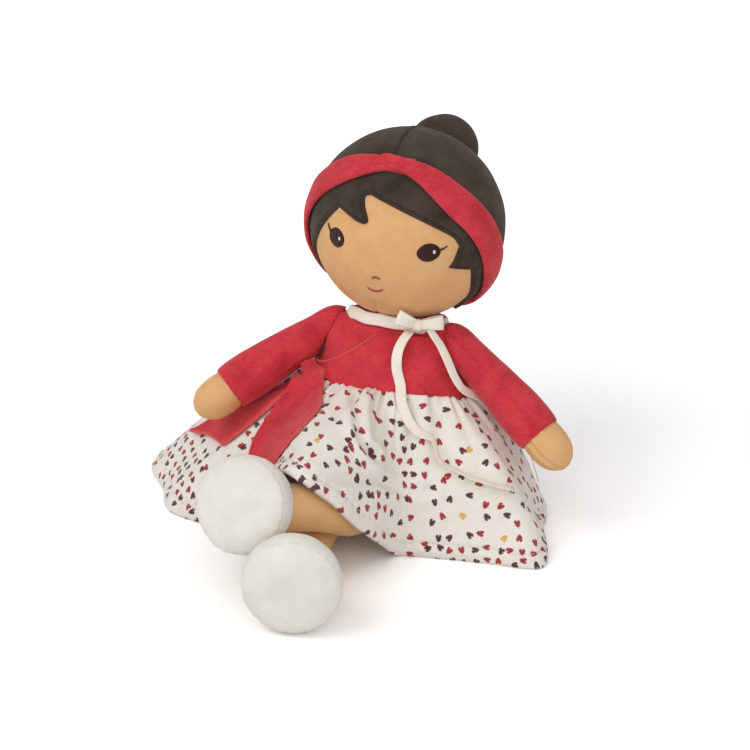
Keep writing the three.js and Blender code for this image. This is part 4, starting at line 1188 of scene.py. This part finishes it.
def skirt():
    rows, cols = SKIRT_ROWS, SKIRT_COLS
    low = spline(HEM, cols, closed=True)
    middle = torso_place(0, 0, WAIST[0])
    turn = np.arctan2(low[:, 1] - middle[1], low[:, 0] - middle[0])
    down, around = np.linspace(0, 1, rows)[:, None], circle(cols)
    out, grid = skirt_ground(low, turn, down, around)
    n = normals(grid)
    run_down = np.vstack([np.zeros((1, cols)), np.cumsum(np.linalg.norm(np.diff(grid, axis=0), axis=2), 0)])
    from_hem = run_down[-1] - run_down
    lift = skirt_lift(grid, n, turn, down, around, from_hem)
    floor = np.clip(grid[..., 2] / 3, 0.2, 1)
    outer = grid + n * (VELOUR + np.maximum(lift, -1.2) * floor)[..., None]
    lining = grid + n * (np.minimum(lift - 1.0, 0) * floor)[..., None]
    outer[..., 2] = np.maximum(outer[..., 2], 0.25)
    lining[..., 2] = np.maximum(lining[..., 2], 0.05)
    rim = (outer[-1] + lining[-1]) / 2 + out * 0.7
    rim[:, 2] = np.maximum(rim[:, 2], 0.1)
    both = np.concatenate([outer, rim[None], lining[::-1]])
    obj = mesh_object("skirt_cloth", both.reshape(-1, 3), quads(len(both), cols, True, True))
    print_plan(obj, low, grid, outer, run_down)
    dress(obj, None, PRINT, ["skirt"])
    with_leg(obj)
    # Hem stitches
    row = np.argmin(np.abs(from_hem - HEM_STITCH), axis=0)
    sewn = outer[row, np.arange(cols)]
    sewn = np.vstack([sewn, sewn[:1]])
    for _ in range(2):
        sewn[1:-1] = (sewn[:-2] + 2 * sewn[1:-1] + sewn[2:]) / 4
    sewn = sewn + UP * 0.05
    with_leg(stitches("hem_stitches", sewn, None, HEM_THREAD, spacing=2.6, length=1.7, radius=0.22))
    return BVHTree.FromPolygons(outer.reshape(-1, 3).tolist(), quads(rows, cols))


# Sash
def ground_height(ground, places):
    tall = np.full(len(places), -50.0)
    for i, p in enumerate(places):
        hit = ground.ray_cast(Vector((p[0], p[1], 300)), Vector((0, 0, -1)))[0]
        if hit:
            tall[i] = hit.z
    return tall


def sash_tail(ground, name, root, tip, width, narrow, taper, bow, skew, swell, raised):
    root = np.array(root)
    run = np.array(tip, float) - root
    side = np.array([-run[1], run[0]]) / np.linalg.norm(run)
    t, k = np.linspace(0, 1, 60)[:, None], np.linspace(-1, 1, 25)
    half = width / 2 * np.sin(math.pi * (narrow + taper * t))
    along = t * (1 + k * skew)
    across = half * k + bow * np.sin(math.pi * t) + swell[0] * bulge(t, *swell[1:]) * np.clip(k, 0, 1)
    flat = root + run * along[..., None] + side * across[..., None]
    bottom = ground_height(ground, flat.reshape(-1, 2)).reshape(along.shape)
    smooth = bottom.copy()
    for _ in range(30):
        wide = np.pad(smooth, 1, mode="edge")
        smooth = (wide[:-2, 1:-1] + wide[2:, 1:-1] + wide[1:-1, :-2] + wide[1:-1, 2:]) / 4
        smooth = np.maximum(smooth, bottom)
    lift = 0.9 + raised * bulge(t, 0.0, 0.16) * (1 - 0.5 * np.abs(k)) + 0.5 * np.sin(5 * t) * k
    sheet = np.concatenate([flat, (smooth + np.maximum(lift, 0.7))[..., None]], -1)
    n = normals(sheet, False)
    n = np.where(n[..., 2:] < 0, -n, n)
    edge = np.minimum((1 - np.abs(k)) * half, (1 - t) * np.linalg.norm(run))
    body = 2.0 * rounded(edge, 1.1) - 0.35 * bulge(edge, 2.2, 0.5) * (edge > 1)
    # Creases from the knot, and a hollow below it
    crease = 0.54 * bulge(t, 0, 0.3) * np.cos(k * 7) + 1.2 * bulge(t, 0.03, 0.04)
    crease = crease - 1.7 * bulge(t, 0.14, 0.06) * bulge(k, -0.1, 0.5)
    top = sheet + n * (body + 0.15 + np.maximum(crease, 0.3 - body) + lumps(sheet, 14, 0.4))[..., None]
    obj = two_sided(f"sash_tail_{name}_cloth", top, sheet)
    # Painted highlight along the tail's edges, lightening its colour
    painted_highlight_amount = 0.8 * bulge(edge, 0, 0.8)
    mark_painted_highlight(obj, np.concatenate([painted_highlight_amount, painted_highlight_amount[::-1]]))
    dress(obj, f"sash_tail_{name}", RED, [f"sash_tail_{name}"])
    if name == "front":
        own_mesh(obj)
    long = float(lengths(sheet[:, len(k) // 2])[-1])
    area = float((across[:, -1] - across[:, 0]).mean() * long) * MM * MM


def sash_knot():
    out = np.array([math.cos(KNOT_TURN), math.sin(KNOT_TURN), 0])
    side = np.cross(UP, out)
    way = ball_grid(40, 60, side)
    turn = np.arctan2(way @ UP, way @ out)
    along = way @ side
    folds = 1 + 0.07 * np.cos(4 * turn + 5 * along) + 0.05 * np.cos(9 * turn - 3 * along)
    lump = sum((folds * (way @ axis) * half)[..., None] * axis
               for axis, half in zip((out, side, UP), KNOT_HALF))
    # The wrap's corner is drawn into the knot
    pull = unit(np.array([0.97, -0.13, -0.2]))
    drawn = np.clip(unit(lump) @ pull, 0, 1)[..., None]
    piece("sash_knot", KNOT + lump * (1 - 0.3 * drawn) + pull * KNOT_PULL * drawn**2, "torso", RED)


# Ribbon round the neck and its bow
def neck_ribbon():
    # It stands up from the dress's collar towards the chin
    angles = circle(180)
    rise, wide, deep = spline(BODICE, 200).T
    t = np.linspace(0, 1, 14)[:, None]
    half = [np.interp(RIBBON_RISE + 1.2 * t, rise, size) / 2 + CLEAR for size in (wide, deep)]
    sag = 0.35 * np.cos(5 * angles + 0.6) + 0.2 * np.cos(11 * angles)
    sag = sag + 1.6 * bulge(degrees_from(angles, -125), 0, 45)
    raised = SATIN * np.sqrt(1 - np.abs(2 * t - 1) ** 8) + 0.25 * np.cos(angles * 7 + 2 * t) + 0.3
    inner, outer = (torso_place((half[0] + lift) * np.cos(angles), (half[1] + lift) * np.sin(angles),
                                RIBBON_RISE + RIBBON_TALL * t + sag) for lift in (0.0, raised))
    both = np.concatenate([outer, inner[::-1]])
    obj = mesh_object("neck_ribbon_cloth", both.reshape(-1, 3), quads(*both.shape[:2], True, True))
    dress(obj, "torso", IVORY, ["neck_ribbon"])


def bow():
    aim = np.array([math.cos(BOW_TURN), math.sin(BOW_TURN)])
    rise = COLLAR[0] + BOW_LIFT
    middle = torso_place(*(BOW_OUT * aim), rise)
    outward = torso_place(*aim, rise) - torso_place(0, 0, rise)
    sideways = np.cross(AXIS, outward)
    loop = spline(BOW_LOOP, 60)
    for name, sign in SIDES:
        c, s = math.cos(LOOP_TILT[name]), math.sin(LOOP_TILT[name])
        aside = sign * sideways * c + AXIS * s
        path = middle + loop[:, :1] * (aside + 0.14 * outward) + loop[:, 1:] * outward
        across = np.tile(AXIS * c - sign * sideways * s, (len(loop), 1))
        half = RIBBON / 2 * (0.75 + 0.55 * loop[:, 0] / 13)
        obj = strip(f"bow_loop_{name}_cloth", path, across, half, 0.6)
        dress(obj, "torso", IVORY, [f"bow_loop_{name}"])
    way = ball_grid(36, 48, sideways)
    ripple = 1 + 0.05 * np.cos(way @ sideways * 9)
    lump = middle + (way @ sideways * 3.9)[..., None] * sideways
    lump = lump + (way @ outward * 2.1 * ripple)[..., None] * outward
    lump = lump + (squared(way @ AXIS, 0.75) * 3.1 * ripple)[..., None] * AXIS
    piece("bow_knot", lump, "torso", IVORY)


def stage():
    scene = bpy.context.scene
    mesh = bpy.data.meshes.new("floor")
    far = FLOOR_FAR
    mesh.from_pydata([(-far, -far, 0), (far, -far, 0), (far, far, 0), (-far, far, 0)], [], [(0, 1, 2, 3)])
    floor = add("floor", mesh)
    look = bpy.data.materials.new("floor")
    look.use_nodes = True
    tree = look.node_tree
    shader = tree.nodes["Principled BSDF"]
    shader.inputs["Roughness"].default_value = 0.95
    shader.inputs["Specular IOR Level"].default_value = 0.0
    away = source(tree, "ShaderNodeTexCoord", "Object").distance((0, 0, 0))
    shown = away.ramp(*FLOOR_FADE).mix(grey(FLOOR_SEEN), grey(FLOOR_WHITE))
    seen = source(tree, "ShaderNodeLightPath", "Is Camera Ray")
    tree.links.new(seen.mix(grey(FLOOR_LIT), shown).out, shader.inputs["Base Color"])
    mesh.materials.append(look)
    scene.world = bpy.data.worlds.new("studio")
    scene.world.use_nodes = True
    tree = scene.world.node_tree
    seen = source(tree, "ShaderNodeLightPath", "Is Camera Ray")
    shown = seen.mix(grey(ROOM_LIT), grey(ROOM_SEEN))
    tree.links.new(shown.out, tree.nodes["Background"].inputs["Color"])
    for name, (place, aim, size, power) in LAMPS.items():
        lamp = bpy.data.lights.new(name, "AREA")
        lamp.size = size
        lamp.energy = power
        obj = add(name, lamp)
        obj.location = place
        aim_along(obj, Vector(aim) - Vector(place))
    scene.view_settings.view_transform = "Standard"


camera()
ribbon_tails()
head()
hood()
bun()
headband()
fringe()
face()
bodice()
wrap()
arms()
legs()
ground = skirt()
for name, shape in SASH.items():
    sash_tail(ground, name, **shape)
sash_knot()
neck_ribbon()
bow()
stage()
